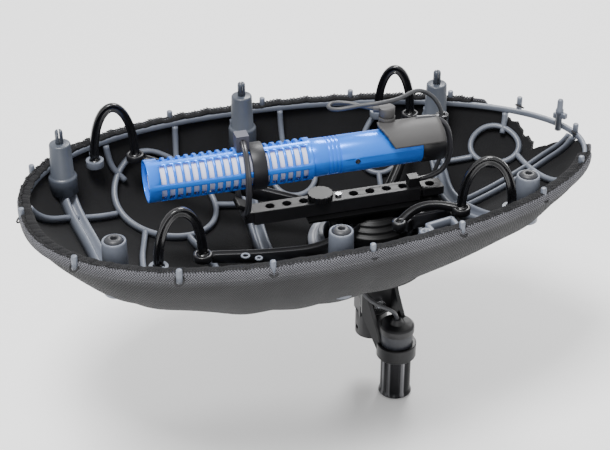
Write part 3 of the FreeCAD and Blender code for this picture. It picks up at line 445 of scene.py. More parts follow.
BEAMS = {
    "beam_left": [(-111, 76), (-110, 45), (-101, 10), (-97, -45), (-98, -82)],
    "beam_middle": [(-2, 95), (-2, 68), (-5, 5), (-5, -60), (-5, -95)],
    "beam_right": [(113, 84), (111, 53), (107, 14), (127, -40), (134, -72)],
}


def oval_route(cx, cy, half_x, half_y, turn=0.0):
    a = np.arange(96) / 96 * TURN
    x, y = (half_x - 2) * np.cos(a), (half_y - 2) * np.sin(a)
    c, s = math.cos(turn), math.sin(turn)
    return np.column_stack([cx + x * c - y * s, cy + x * s + y * c])


def cornered(points, reach=0.3):
    """A route with its corners rounded: each corner becomes a short quadratic arc."""
    p = np.asarray(points, float)
    out = [p[0]]
    for before, at, after in zip(p, p[1:], p[2:]):
        a, b = at + (before - at) * reach, at + (after - at) * reach
        for s in np.linspace(0, 1, 9):
            out.append((1 - s) ** 2 * a + 2 * s * (1 - s) * at + s * s * b)
    return np.array(out + [p[-1]])


def bar_path(plan, top=-8.0, closed=False):
    """A bar's line on the frame's middle surface: the plan route lifted, kept below the rim."""
    dense = plan if closed else spread(cornered(plan), 0.4)
    points = over(dense, 1.5)
    if closed:
        return points
    points = points[(points[:, 2] < top)]
    return spread(points, 1.6)


def keep_out(points):
    """True where a bar is clear of the round opening in the belly."""
    return np.linalg.norm(points[:, :2] - OPENING, axis=1) > OPENING_R - 1.5


# Sections, as (across, towards the inside); the foot is sunk into the lining
a = np.linspace(0, math.pi, 9)
ROUND_BAR = np.vstack([[(1.6, -1.9)], np.column_stack([1.6 * np.cos(a), 0.4 + 1.7 * np.sin(a)]),
                       [(-1.6, -1.9)]])[::-1]
bump = lambda c: [(c + 1.25, 3.1), (c + 0.8, 4.1), (c, 4.5), (c - 0.8, 4.1), (c - 1.25, 3.1)]
CHANNEL = np.array([(4.5, -1.9), (4.5, 3.0)] + bump(3.2)[1:4] + [(1.9, 3.0), (1.6, 0.2), (-1.6, 0.2),
                   (-1.9, 3.0)] + bump(-3.2)[1:4] + [(-4.5, 3.0), (-4.5, -1.9)])[::-1]


def frame_bars():
    """Ribs as rounded bars and beams as double-ridged channels, swept over the bowl."""
    for name, routes in RIBS.items():
        parts = []
        for route in routes:
            line = bar_path(route)
            line = line[keep_out(line)]
            slim = 0.62 if len(route) == 5 else 1.0
            parts.append(swept(line, inward(line, 1.5), ROUND_BAR * (slim, 1.0)))
        for oval in OVALS[name]:
            line = bar_path(oval_route(*oval), closed=True)
            parts.append(swept(line, inward(line, 1.5), ROUND_BAR, closed=True))
        mesh(name + "_moulded", *joined(parts), NYLON, "basket", stands_for=[name],
             slot="frame_grey_nylon")
    for name, route in BEAMS.items():
        line = bar_path(route)
        mesh(name + "_moulded", *swept(line, inward(line, 1.5), CHANNEL), NYLON, "basket",
             stands_for=[name], slot="frame_grey_nylon")


def around(count=720):
    return (np.arange(count) + 0.5) / count * TURN


def rim_bar():
    """The frame's rim: a rounded bar swept round the outline, z -8.7 to -5.3."""
    line = bowl(around(), np.full(720, 0.0), 1.75)
    line[:, 2] = -7.0
    a = -np.linspace(0, TURN, 17)[:-1]
    section = np.stack([1.3 * np.sign(np.cos(a)) * np.abs(np.cos(a)) ** 0.6,
                        1.7 * np.sign(np.sin(a)) * np.abs(np.sin(a)) ** 0.6], 1)
    mesh("rim_bar_moulded", *swept(line, (0, 0, 1), section, closed=True), NYLON, "basket",
         stands_for=["rim_ring"], slot="frame_grey_nylon")


# ---------------------------------------------------------------- cloth
NOTCH = np.array([(150, 66, 0), (178, 20, -24), (196, -10, 0)], float)


def notch_top(t, wobble=0.8):
    """Height of the cover's trimmed edge: a shallow V at the tail between the two places where it
    leaves the rim, with a small frayed wave; 0 elsewhere."""
    edge = bowl(t, 0 * t, 4.0)
    start, end = NOTCH[0, :2], NOTCH[2, :2]
    along = end - start
    share = ((edge[:, :2] - start) @ along) / (along @ along)
    side = (edge[:, 0] - start[0]) * along[1] - (edge[:, 1] - start[1]) * along[0]
    inside = (share > 0) & (share < 1) & (edge[:, 0] > 100)
    lowest = 0.55
    fall = np.where(share < lowest, share / lowest, (1 - share) / (1 - lowest))
    wave = np.sin(share * 41) + 0.6 * np.sin(share * 97 + 1) + 0.3 * np.sin(share * 210)
    drop = -23.0 * np.clip(fall, 0, 1) ** 0.9 + wobble * wave * np.clip(fall * 6, 0, 1)
    return np.where(inside, np.minimum(drop, 0), 0.0)


def rib_lines():
    """Plan points along every bar, for the cloth to be held out by."""
    lines = [spread(cornered(r), 3.0) for routes in RIBS.values() for r in routes]
    lines += [spread(cornered(r), 3.0) for r in BEAMS.values()]
    lines += [oval_route(*o)[::3] for ovals in OVALS.values() for o in ovals]
    return np.vstack(lines)


HELD = rib_lines()


def sag(points, most):
    """How far the cloth sinks inwards between bars: most (1 - exp(-(d / 13)^2)) at distance d from
    the nearest bar in plan, fading out towards the rim."""
    flat = points.reshape(-1, 3)
    nearest = np.full(len(flat), 1e9)
    for chunk in np.array_split(HELD, 12):
        d = np.linalg.norm(flat[:, None, :2] - chunk[None], axis=2).min(1)
        nearest = np.minimum(nearest, d)
    fade = np.clip((-6 - flat[:, 2]) / 18, 0, 1)
    return (most * (1 - np.exp(-(nearest / 13) ** 2)) * fade).reshape(points.shape[:-1])


def cloth(name, grow, most, top, thickness, paint, stands_for, slot, columns=540, rows=70):
    """A fitted cloth bowl: rows go from its top edge down the wall to the middle of the belly,
    sunk between the bars, cut out round the opening, and thickened inwards."""
    t = np.arange(columns) / columns * TURN
    edge = np.minimum(notch_top(t), top)
    first = np.maximum(-edge / (57 + grow), 0.0)
    s = np.linspace(0, 1, rows) ** 1.15
    f = first[None] + (1 - first[None]) * s[:, None]
    tt = np.broadcast_to(t, f.shape)
    wall = bowl(tt, f, grow)
    towards = bowl(tt, f, grow - 1) - wall
    wall = wall + towards * sag(wall, most)[..., None]
    last = wall[-1]
    middle = last.mean(0)
    belly = [last + (middle - last) * k for k in np.linspace(0, 1, 12)[1:-1]]
    points = np.vstack([wall.reshape(-1, 3)] + belly + [middle[None]])
    total = rows + len(belly)
    faces = sheet_faces(total, columns, False, True)
    ring_start, tip = (total - 1) * columns, len(points) - 1
    fan = [(ring_start + j, ring_start + (j + 1) % columns, tip) for j in range(columns)]
    centre = points[faces].mean(1)[:, :2]
    faces = faces[np.linalg.norm(centre - OPENING, axis=1) > OPENING_R]
    away = points[:, :2] - OPENING
    r = np.linalg.norm(away, axis=1)
    pull = (r < OPENING_R) & np.isin(np.arange(len(points)), faces)
    points[pull, :2] = OPENING + away[pull] / r[pull, None] * OPENING_R
    points[pull, 2] = -depth(points[pull, 0], points[pull, 1], grow) * (57 + grow)
    run_u = np.concatenate([[0], np.cumsum(np.linalg.norm(np.diff(
        np.vstack([wall[0], wall[:1, 0]]), axis=0), axis=1))]) / 1000
    steps = np.linalg.norm(np.diff(points[:total * columns].reshape(total, columns, 3), axis=0),
                           axis=2).mean(1)
    run_v = np.concatenate([[0], np.cumsum(steps)]) / 1000
    row, column = faces // columns, faces % columns
    column = np.where((column == 0) & (faces[:, [0]] % columns == columns - 1), columns, column)
    uv = np.stack([run_u[column], run_v[row]], -1).reshape(-1, 2)
    fan = [g for g in fan if np.linalg.norm(points[list(g), :2].mean(0) - OPENING) > OPENING_R]
    uv = np.vstack([uv] + [np.array([(run_u[g[0] % columns], run_v[-1])] * 3) for g in fan])
    used = sorted(set(faces.ravel().tolist()) | {k for g in fan for k in g})
    order = np.full(len(points), -1)
    order[used] = np.arange(len(used))
    every = [list(order[q])[::-1] for q in faces] + [list(order[list(g)])[::-1] for g in fan]
    counts = [len(q) for q in every]
    flipped, at = [], 0
    for n in counts:
        flipped.append(uv[at:at + n][::-1])
        at += n
    made = mesh(name, points[used], every, paint, "basket", uv=np.vstack(flipped),
                stands_for=stands_for, slot=slot)
    solid = made.modifiers.new("cloth thickness", "SOLIDIFY")
    solid.thickness = thickness / 1000
    solid.offset = -1.0
    return made


def turned_edge(name, section, lift, edge, out, ripple, keep, paint, stands_for=(), narrow=1.0):
    """A strip of cloth along the rim: a closed section of (outward, height) carried round, moved by
    a ripple of (outward, height) columns wherever lift allows, and left out at the tail's notch.
    Narrow scales the section about its outer edge, column by column."""
    count, across = len(edge), len(section)
    g, h = np.array(section).T
    reach = g[0] + (g[None] - g[0]) * np.broadcast_to(narrow, (count,))[:, None]
    points = edge[:, None] + (reach + lift[None] * ripple[:, :1])[..., None] * out[:, None]
    points[..., 2] = h[None] + lift[None] * ripple[:, 1:]
    lap = lambda line: np.concatenate([[0], np.cumsum(np.linalg.norm(np.diff(
        np.vstack([line, line[:1]]), axis=0), axis=1))]) / 1000
    run_u, run_v = lap(points[:, 4]), lap(np.array(section))
    faces = sheet_faces(count, across, True, True)
    row = faces // across
    good = keep[row % count].all(1)
    faces, row = faces[good], row[good]
    column = faces % across
    row = np.where((row == 0) & (row[:, [0]] == count - 1), count, row)
    column = np.where((column == 0) & (column[:, [0]] == across - 1), across, column)
    uv = np.stack([run_u[row], run_v[column]], -1).reshape(-1, 2)
    used = np.unique(faces)
    order = np.full(count * across, -1)
    order[used] = np.arange(len(used))
    return mesh(name, points.reshape(-1, 3)[used], order[faces].tolist(), paint, "basket", uv=uv,
                stands_for=stands_for, slot="woven_cover")


def hem_and_stitches():
    """The edge: the cover's cloth rolls over the rim, a flat tape lies inside it, and a zigzag of
    thread joins the two. All dip and pinch at each pin."""
    columns = 1080
    t = around(columns)
    keep = notch_top(t) > -0.8
    edge = bowl(t, 0 * t, 0.0)
    out = unit(np.column_stack([(bowl(t, 0 * t, 5.0) - edge)[:, :2], 0 * t]))
    near = np.min(np.linalg.norm(edge[:, None, :2] - PINS[None], axis=2), axis=1)
    pinch = np.exp(-(near / 3.2) ** 2)
    wave = 0.3 * np.sin(t * 57) + 0.2 * np.sin(t * 131 + 1) + 0.12 * np.sin(t * 263)
    ripple = np.column_stack([0.5 * wave - 0.5 * pinch, wave - 0.9 * pinch])
    roll = [(5.75, -9.0), (5.9, -6.5), (5.8, -4.9), (5.3, -3.9), (4.6, -3.4), (3.7, -3.3), (3.2, -3.6),
            (3.5, -4.3), (4.5, -4.5), (5.0, -5.2), (5.2, -6.5), (5.1, -9.0)]
    lift = np.array([0, .3, .7, 1, 1, 1, 1, 1, .8, .6, .3, 0])
    edge_roll = turned_edge("cover_edge_roll", roll, lift, edge, out, ripple, keep, COVER)
    flat = [(4.0, -3.75), (2.6, -3.45), (1.2, -3.5), (-0.2, -3.75), (-1.5, -4.1), (-2.3, -4.6),
            (-2.5, -5.3), (-2.0, -5.2), (-1.2, -4.8), (0.2, -4.45), (2.6, -4.35), (4.0, -4.3)]
    hem = turned_edge("hem_tape", flat, np.ones(12), edge, out, ripple, keep, HEM, ["cover_hem"],
                      1.0 - 0.55 * np.clip((edge[:, 1] + 10) / 60, 0, 1))

    zig = np.where(np.arange(columns) % 2 == 0, 4.9, 3.3)
    thread = edge + (zig + ripple[:, 0])[:, None] * out
    thread[:, 2] = -2.95 + ripple[:, 1]
    runs, start = [], None
    for i in range(columns + 1):
        if i < columns and keep[i]:
            start = i if start is None else start
        elif start is not None:
            runs.append(thread[start:i])
            start = None
    stitches = mesh("hem_stitches", *joined([swept(r, (0, 0, 1), circle(0.36, 6)) for r in runs]),
                    THREAD, "basket")
    return edge_roll, hem, stitches


def pins():
    """Cover pins: plain studs through the edge of the cloth, each with a loop of thread drawn
    round its foot."""
    studs, loops = [], []
    a = np.arange(24) / 24 * TURN
    for x, y in PINS:
        away = unit(np.array([x - 2, 2.2 * y]))
        px, py = x + 1.9 * away[0], y + 1.9 * away[1]
        studs.append(rolled([(0.01, -7.6), (1.7, -7.6), (1.6, -0.5), (1.35, -0.1), (0.9, 0), (0.01, 0)],
                            (px, py, 0), sides=20))
        fx, fy = px + 0.5 * away[0], py + 0.5 * away[1]
        loop = np.column_stack([fx + 2.3 * np.cos(a), fy + 2.3 * np.sin(a),
                                -6.4 - 1.6 * (np.cos(a) * away[0] + np.sin(a) * away[1])])
        loops.append(swept(loop, (0, 0, 1), circle(0.5, 7), closed=True))
    mesh("cover_pins_round", *joined(studs), NYLON, "basket", stands_for=["cover_pins"],
         slot="frame_grey_nylon")
    return mesh("pin_threads", *joined(loops), THREAD, "basket")


# ---------------------------------------------------------------- posts, sockets and pins
POSTS = [(-110, 45, 10), (-2, 68, 12), (111, 53, 11)]
SOCKETS = [(-97, -45, 1), (16, -68, 1), (129, -43, 1)]


def posts():
    """Locating posts: a stout foot with a smiling shoulder line, a tapered upper and a split pin."""
    parts = []
    for x, y, top in POSTS:
        floor = float(over([(x, y)], 1.5)[0, 2])
        low, shoulder = floor - top, -20.0
        parts.append(rolled([(0.01, low), (8.0, low), (8.0, shoulder - 1.2), (7.7, shoulder - 0.3),
                             (7.0, shoulder), (6.9, shoulder + 0.1), (6.5, shoulder + 0.4),
                             (5.9, -0.8), (5.6, -0.25), (5.0, 0.0), (0.01, 0.0)], (x, y, top)))
        for k in range(4):
            middle = TURN * (k + 0.5) / 4
            a = middle + np.linspace(-0.62, 0.62, 7)
            outer = np.stack([np.cos(a), np.sin(a)], 1) * 2.2
            shape = np.vstack([outer, [(0.5 * math.cos(middle), 0.5 * math.sin(middle))]])
            rings = [(1.0, -0.5), (1.0, 6.6), (0.92, 7.5), (0.72, 8.0)]
            v = np.vstack([np.column_stack([shape * k2 + (x, y), np.full(len(shape), top + h)])
                           for k2, h in rings])
            n = len(shape)
            f = sheet_faces(len(rings), n, False, True).tolist()
            f += [list(range(n))[::-1], list(range((len(rings) - 1) * n, len(rings) * n))]
            parts.append((v, f))
        parts.append(rolled([(0.01, -0.4), (1.5, -0.4), (1.5, 2.2), (0.01, 2.2)], (x, y, top)))
    mesh("posts_moulded", *joined(parts), POST_NYLON, "basket", stands_for=["locating_posts"],
         slot="frame_grey_nylon")


def sockets():
    """Front sockets: a round boss with a rolled lip, and a domed rubber bush with a dark bore."""
    bosses, bushes = [], []
    for x, y, top in SOCKETS:
        floor = float(over([(x, y)], 1.5)[0, 2]) - top
        bosses.append(rolled([(6.9, floor), (6.5, -6.0), (6.4, -0.9), (6.15, -0.25), (5.7, 0.0),
                              (5.2, -0.15), (4.95, -0.6), (4.95, -2.0), (4.9, -6.0)], (x, y, top)))
        bushes.append(rolled([(4.9, -5.0), (4.9, -0.6), (4.75, 0.1), (4.2, 0.8), (3.2, 1.3),
                              (2.2, 1.4), (1.75, 1.2), (1.6, 0.6), (1.6, -5.0)], (x, y, top), sides=32))
    mesh("sockets_moulded", *joined(bosses), NYLON, "basket", stands_for=["post_sockets"],
         slot="frame_grey_nylon")
    mesh("socket_bushes_domed", *joined(bushes), RUBBER, "basket", stands_for=["socket_bushes"],
         slot="grey_rubber")


# ---------------------------------------------------------------- hoops and arms
HOOPS = {
    "rear_left": ((-90, 57.5), (-67, 58), -11, 23), "front_left": ((-77, -57), (-53, -52), -11, 20),
    "rear_right": ((80, 66), (97, 58), -9, 21), "front_right": ((116, -53), (90, -46), -11, 20),
}
# Double-ridged band, 4.8 deep and 3 thick, ridges on its two flat faces: (across, outwards)
H_BAND = np.array([(-1.1, 2.4), (1.1, 2.4), (1.5, 2.0), (1.5, 1.5), (1.2, 1.1), (0.7, 0.8), (0.7, -0.8),
                   (1.2, -1.1), (1.5, -1.5), (1.5, -2.0), (1.1, -2.4), (-1.1, -2.4), (-1.5, -2.0),
                   (-1.5, -1.5), (-1.2, -1.1), (-0.7, -0.8), (-0.7, 0.8), (-1.2, 1.1), (-1.5, 1.5),
                   (-1.5, 2.0)])


def hoops():
    """Each hoop: a half ellipse between its two feet, with the double-ridged band carried along it
    and a round plug at each foot. It runs from the basket's foot to the chassis' foot."""
    for name, (b, c, foot, top) in HOOPS.items():
        b, c = np.array(b, float), np.array(c, float)
        centre, span = (b + c) / 2, (c - b) / 2
        half = np.linalg.norm(span)
        a = np.linspace(math.pi, 0, 61)
        height = (top - foot - 2.4) * np.sin(a) ** 0.92
        line = np.column_stack([centre + np.cos(a)[:, None] * span, foot + height])
        out = np.column_stack([np.cos(a)[:, None] * span / half * (top - foot) / half,
                               np.sin(a) * 1.0])
        parts = [swept(line, out, H_BAND)]
        for x, y in (b, c):
            parts.append(rolled([(0.01, -3.4), (2.7, -3.4), (3.1, -3.0), (3.1, -0.2), (2.7, 0.4),
                                 (1.8, 0.7), (0.01, 0.7)], (x, y, foot), sides=24))
        mesh("hoop_" + name, *joined(parts), HOOP, None, slot="black_hoop_nylon",
             stands_for=["suspension_hoops"],
             blended=("basket", "chassis", placed((*b, foot)), placed((*c, foot))))


ARMS = {
    "arm_rear_left": ([(-67, 58), (-40, 44), (-4, 30), (42, 12)], -11),
    "arm_front_left": ([(-53, -52), (-20, -47), (14, -38), (46, -5)], -11),
    "arm_rear_right": ([(97, 58), (90, 44), (80, 30), (68, 18)], -9),
    "arm_front_right": ([(90, -46), (80, -34), (64, -8)], -11),
}
# Arm: a narrow channel with two raised edges; the foot of the section drops towards the housing
ARM = np.array([(2.3, -0.6), (2.3, 3.7), (2.1, 4.0), (1.6, 4.0), (1.4, 3.7), (1.2, 2.2), (-1.2, 2.2), (-1.4, 3.7),
                (-1.6, 4.0), (-2.1, 4.0), (-2.3, 3.7), (-2.3, -0.6), (-1.9, -0.8), (1.9, -0.8)])[::-1]
ARM_DROP = 4.5


def arms():
    """Chassis arms: a channel from each hoop's eye down to the housing, falling evenly, its depth
    growing by ARM_DROP on the way."""
    for name, (route, foot) in ARMS.items():
        low = foot - 3.6
        plan = spread(cornered(route, 0.4), 1.5)
        away = np.linalg.norm(plan - plan[0], axis=1)
        run = np.concatenate([[0], np.cumsum(np.linalg.norm(np.diff(plan, axis=0), axis=1))])
        z = low + (-42.0 - low) * run / run[-1]
        share = (run / run[-1])[away > 3.6]
        line = np.column_stack([plan, z])[away > 3.6]
        vertices, faces = swept(line, (0, 0, 1), ARM)
        bar = vertices.reshape(len(line), len(ARM), 3)
        bar[:, ARM[:, 1] < 0, 2] -= ARM_DROP * share[:, None]
        eye = rolled([(3.25, 0.0), (4.7, 0.0), (5.0, 0.3), (5.0, 3.6), (4.7, 4.0), (3.6, 4.0),
                      (3.25, 3.7)], (*route[0], low), sides=32)
        eye = (eye[0], eye[1][:-2] + sheet_join(7, 32))
        mesh(name + "_channel", *joined([(bar.reshape(-1, 3), faces), eye]), BLACK_NYLON, "chassis",
             stands_for=[name], slot="black_nylon")


def sheet_join(rows, sides):
    """Quads from a rolled profile's last ring back to its first, so that a ring closes."""
    last = (rows - 1) * sides
    return [[last + j, last + (j + 1) % sides, (j + 1) % sides, j] for j in range(sides)]


# ---------------------------------------------------------------- lyres and leads
LYRE_REAR = [(84, 3, 18.5), (91, 2, 18.5), (97.5, 1, 14), (100, 0, 5), (100, -1, -6),
             (96.5, -1, -14), (89, 0, -18), (81, 0, -18.5)]
LEAD_MICROPHONE = [(58.5, 12.0, 23.5), (53.0, 14.0, 24.5), (46.5, 17.8, 25.5), (40.8, 20.6, 25.5),
                   (36.2, 20.4, 25.2), (34.0, 16.4, 25.0), (37.0, 12.6, 25.4), (43.0, 10.8, 26.5),
                   (50.0, 8.2, 28.5), (57.5, 5.2, 30.0), (65.8, 4.8, 30.5), (74.0, 9.0, 29.5),
                   (82.0, 15.5, 28.5), (87.5, 18.5, 27.2), (93.0, 20.5, 24.0), (97.8, 20.0, 19.5),
                   (100.7, 18.7, 14.0), (101.5, 18.0, 9.0)]
LEAD_LINK = [(101.5, 18.0, -4.0), (102.0, 17.8, -11.0), (101.0, 17.0, -18.0), (97.5, 15.5, -25.0),
             (92.0, 13.2, -31.0), (85.5, 10.5, -35.5), (79.5, 6.6, -38.5)]
LEAD_OUTPUT = [(46.0, -9.0, -75.5), (47.0, -11.5, -81.5), (51.0, -14.8, -86.0), (56.5, -17.0, -89.3),
               (62.0, -17.5, -92.6), (65.8, -16.8, -96.8), (67.0, -16.0, -101.6)]
LEAD_R = 1.2


def lyres():
    """Front lyre: a round wire carried round a standing ellipse. Rear lyre: a wire along a route."""
    a = np.arange(96) / 96 * TURN
    line = np.column_stack([np.full(96, -19.0), 15 * np.sin(a), 23 * np.cos(a)])
    band = np.array([(1.5, -0.9), (1.5, 0.9), (0.9, 1.5), (0.35, 1.1), (-0.35, 1.1), (-0.9, 1.5), (-1.5, 0.9),
                     (-1.5, -0.9), (-0.9, -1.4), (0.9, -1.4)])
    out = np.column_stack([0 * a, np.sin(a) * 23, np.cos(a) * 15])
    mesh("lyre_front_wire", *swept(line, out, band, closed=True), ACETAL, None, slot="lyre_polymer",
         stands_for=["lyre_front"],
         blended=("rail", "microphone", placed((-19, 0, -20)), placed((-19, 0, 20))))
    line = spline(LYRE_REAR)
    mesh("lyre_rear_wire", *swept(line, (0, 1, 0), circle(1.5)), ACETAL, None, slot="lyre_polymer",
         stands_for=["lyre_rear"],
         blended=("rail", "microphone", placed((86, 0, -17)), placed((86, 0, 17))))


def lead(name, points, node, body=None, blended=None):
    """A lead: a round jacket along the smooth curve of its given points, each end in its fitting."""
    line = spread(spline(points), 0.7)
    drawn = mesh(name, *swept(line, (0.3, 0.2, 0.9), circle(LEAD_R)), JACKET, body,
                 stands_for=[node], slot="grey_lead", blended=blended)


# ---------------------------------------------------------------- build
frame_bars()
rim_bar()
outer = cloth("cover_cloth", 5.5, 1.6, -3.9, 0.5, COVER, ["cover"], "woven_cover")
inner = cloth("lining_cloth", 4.1, 1.5, -5.0, 0.3, LINING, ["liner"], "black_lining", rows=50)
edge_roll, hem, stitches = hem_and_stitches()
pin_threads = pins()
posts()
sockets()
hoops()
arms()
lyres()
lead("lead_microphone_jacket", LEAD_MICROPHONE, "lead_microphone",
     blended=("microphone", "rail", placed((70, 10, 26)), placed((101, 18, 12))))
lead("lead_link_jacket", LEAD_LINK, "lead_link",
     blended=("rail", "chassis", placed((101.5, 18, -6)), placed((82, 8.5, -38))))
lead("lead_output_jacket", LEAD_OUTPUT, "lead_output", body="chassis")


def fittings():
    """Small mouldings of the frame and arms: lugs and loops on the wall, a pocket frame at the
    front right, the flange round the opening, and a blank label on a carrier."""
    a = np.arange(32) / 32 * TURN
    bits = []
    for (x, y, z), r in (((-33, -62, -9.5), 1.9), ((-27, -66, -9.5), 1.5)):
        loop = np.column_stack([x + r * np.cos(a), y + r * np.sin(a), np.full(32, z)])
        bits.append(swept(loop, (0, 0, 1), circle(0.6, 8), closed=True))
    mesh("cover_lugs", *joined(bits), NYLON, "basket")

    corners = np.array([(66, -59.5), (80.5, -56.5), (81.5, -67), (67, -71)], float)
    pocket = spread(np.vstack([corners, corners[:1]]), 0.8)[:-1]
    pocket = np.column_stack([pocket, np.full(len(pocket), -10.0)])
    bar = np.array([(1.3, -7.0), (1.3, 0.6), (1.0, 1.0), (-1.0, 1.0), (-1.3, 0.6), (-1.3, -7.0)])[::-1]
    mesh("pocket_frame", *joined([
        swept(pocket, (0, 0, 1), bar, closed=True),
        rolled([(0.01, -14), (3.4, -14), (3.4, -0.4), (3.0, 0), (1.4, 0), (1.3, -3), (0.01, -3)],
               (62.5, -66.5, -8.5), sides=28)]), NYLON, "basket", slot="frame_grey_nylon")

    mesh("opening_flange", *rolled([(28.2, -60.0), (28.2, -55.6), (28.6, -55.2), (30.6, -55.2),
                                    (31.0, -55.9), (31.8, -55.9), (32.2, -55.3), (35.4, -56.2),
                                    (36.0, -57.0), (36.0, -60.0)], (57, 6, 0), sides=96),
         PALE_NYLON, "basket")
    turn = math.atan2(3.0, 5.0)
    mesh("label_carrier", *block((72.6, -19.0, -32.5), (7.5, 3.2, 3.6), turn, 0.12), BLACK_NYLON,
         "chassis", slot="black_nylon")
    mesh("label_blank", *block((73.2, -18.6, -28.8), (3.6, 1.9, 0.2), turn, 0.1), LABEL, "chassis")


def hook():
    """The front right arm's upper part: a channel that curls round to a dark eye."""
    route = spread(spline([(88, -45, -13.2), (80, -40, -12.6), (71, -38, -13.0), (63, -40.5, -14.2),
                           (57.5, -44.0, -16.0)]), 0.9)
    eye = rolled([(1.7, -2.5), (3.6, -2.5), (3.9, -2.1), (3.9, 1.6), (3.5, 2.0), (2.0, 2.0), (1.7, 1.7)],
                 (55.0, -46.0, -15.5), sides=28)
    eye = (eye[0], eye[1][:-2] + sheet_join(7, 28))
    mesh("arm_front_right_hook", *joined([swept(route, (0, 0, 1), ARM * (0.8, 0.8)), eye]),
         BLACK_NYLON, "chassis", slot="black_nylon")


def turned_sheet(name, x, angles, radius, wall, open_cell, paint, body, stands_for, slot):
    """A tube wall about the microphone's axis: rows at x, columns at angles, cells left out where
    open_cell(row, column), and closed round the wall's thickness by a solidify modifier."""
    rows, columns = len(x), len(angles)
    full = angles[-1] - angles[0] > 1.9 * math.pi * (columns - 1) / columns
    vertices = np.stack([np.repeat(x, columns), radius * np.tile(np.sin(angles), rows),
                         5.0 + radius * np.tile(np.cos(angles), rows)], 1)
    faces = sheet_faces(rows, columns, False, full)
    cell = faces[:, 0]
    keep = [not open_cell(int(k) // columns, int(k) % columns) for k in cell]
    made = mesh(name, vertices, faces[keep].tolist(), paint, body, stands_for=stands_for, slot=slot)
    solid = made.modifiers.new("wall", "SOLIDIFY")
    solid.thickness = wall / 1000
    solid.offset = -1.0
    return made


def slotted_tube():
    """The interference tube: 19 rings of five long slots, each rib 1.4 mm, bars 13 degrees wide."""
    first, pitch, length = -65.0, 4.3, 2.9
    x = [-71.5, -71.2]
    for i in range(19):
        x += [first + i * pitch, first + i * pitch + length]
    x = np.array(x + [18.2, 18.5])
    angles = np.arange(96) / 96 * TURN
    bars = (16, 35.2, 54.4, 73.6, 92.8)

    def gap(row, column):
        slot_row = 2 <= row < len(x) - 3 and row % 2 == 0
        near = min(abs((column - b + 48) % 96 - 48) for b in bars)
        return slot_row and near >= 2

    tube = turned_sheet("interference_tube_slotted", x, angles, 10.5, 1.1, gap, BLUE, "microphone",
                        ["interference_tube"], "blue_anodised")
    return tube


def shell():
    """The housing over the microphone's plug: a wall over the top and both flanks, its lower front
    edge rising towards the nose, and a dark block under its tail."""
    a = np.linspace(-1.16, 1.7, 41)
    x = np.concatenate([np.arange(57.5, 64.5, 0.5), np.arange(65, 92.6, 2.5)])
    cut = lambda row, column: x[row] < 57.5 + 4.6 * abs(a[column]) ** 1.3
    made = turned_sheet("connector_shell_saddle", x, a, 12.6, 1.6, cut, WARM, "microphone",
                        ["connector_shell"], "warm_grey_nylon")
    tail = rolled([(0.01, 80.5), (10.4, 80.5), (10.9, 81.0), (10.9, 93.5), (10.2, 94.4), (6.0, 95.2),
                   (0.01, 95.2)], (0, 0, 5.0), axis=(1, 0, 0), sides=40)
    mesh("connector_tail", *tail, BLACK_NYLON, "microphone", slot="black_nylon")
    return made


def shoe():
    """The front lyre's shoe: a small tilted plate on the rail's nose with a clip over the wire."""
    v, f = block((0, 0, 0), (4.2, 5.0, 1.4), 0.0, 0.15)
    tilt = math.radians(28)
    c, q = math.cos(tilt), math.sin(tilt)
    v = np.column_stack([v[:, 0] * c + v[:, 2] * q, v[:, 1], v[:, 2] * c - v[:, 0] * q]) + (-18.6, 3.0, -20.0)
    nose = block((-15.5, 0, -25.0), (3.4, 4.6, 3.4), 0.0, 0.2)
    mesh("lyre_shoe_front_plate", *joined([(v, f), nose]), BLACK_NYLON, "rail",
         stands_for=["lyre_shoe_front"], slot="black_nylon")


def bracket():
    """The connector's bracket: a plate, two flaring gussets and a collar with eased edges."""
    y0, y1, wall = -2.3, -16.0, 2.2
    parts = [block((60, y0 + 1.1, -92), (10, 1.1, 12), 0.0, 0.08)]
    for x0, x1, thick in ((50.0, 56.75, wall), (70.0, 75.9, -wall)):
        outline = [(0, -80), (0.29, -92), (1, -116.6), (1, -125.6), (0, -104)]
        side = [(x0 + (x1 - x0) * q, y0 + (y1 - y0) * q, z) for q, z in outline]
        v = np.array(side + [(x + thick, y, z) for x, y, z in side])
        n = len(side)
        f = [[k, (k + 1) % n, (k + 1) % n + n, k + n] for k in range(n)]
        parts.append((v, f + [list(range(n))[::-1], list(range(n, 2 * n))]))
    collar = rolled([(9.0, -125.2), (9.4, -125.6), (11.2, -125.6), (11.6, -125.2), (11.6, -117),
                     (11.2, -116.6), (9.4, -116.6), (9.0, -117)], (67, -16, 0), sides=64)
    parts.append((collar[0], collar[1][:-2] + sheet_join(8, 64)))
    made = mesh("connector_bracket_folded", *joined(parts), SHEET_ALLOY, "chassis",
                stands_for=["connector_bracket"], slot="black_alloy")
    flat = made.modifiers.new("flat faces", "EDGE_SPLIT")
    flat.split_angle = math.radians(30)


def drum_steps():
    """Stepped shoulders on the housing's dome."""
    mesh("drum_steps", *rolled([(24.0, -52), (24.0, -43.4), (23.4, -42.7), (21.4, -42.4), (21.4, -40.6),
                                (20.8, -40.0), (18.4, -39.7), (18.4, -38.0), (17.9, -37.4),
                                (15.2, -37.0), (15.2, -36.0), (14.6, -35.7), (0.01, -35.7)],
                               (57, 6, 0), sides=72), DRUM, "chassis", slot="black_nylon")


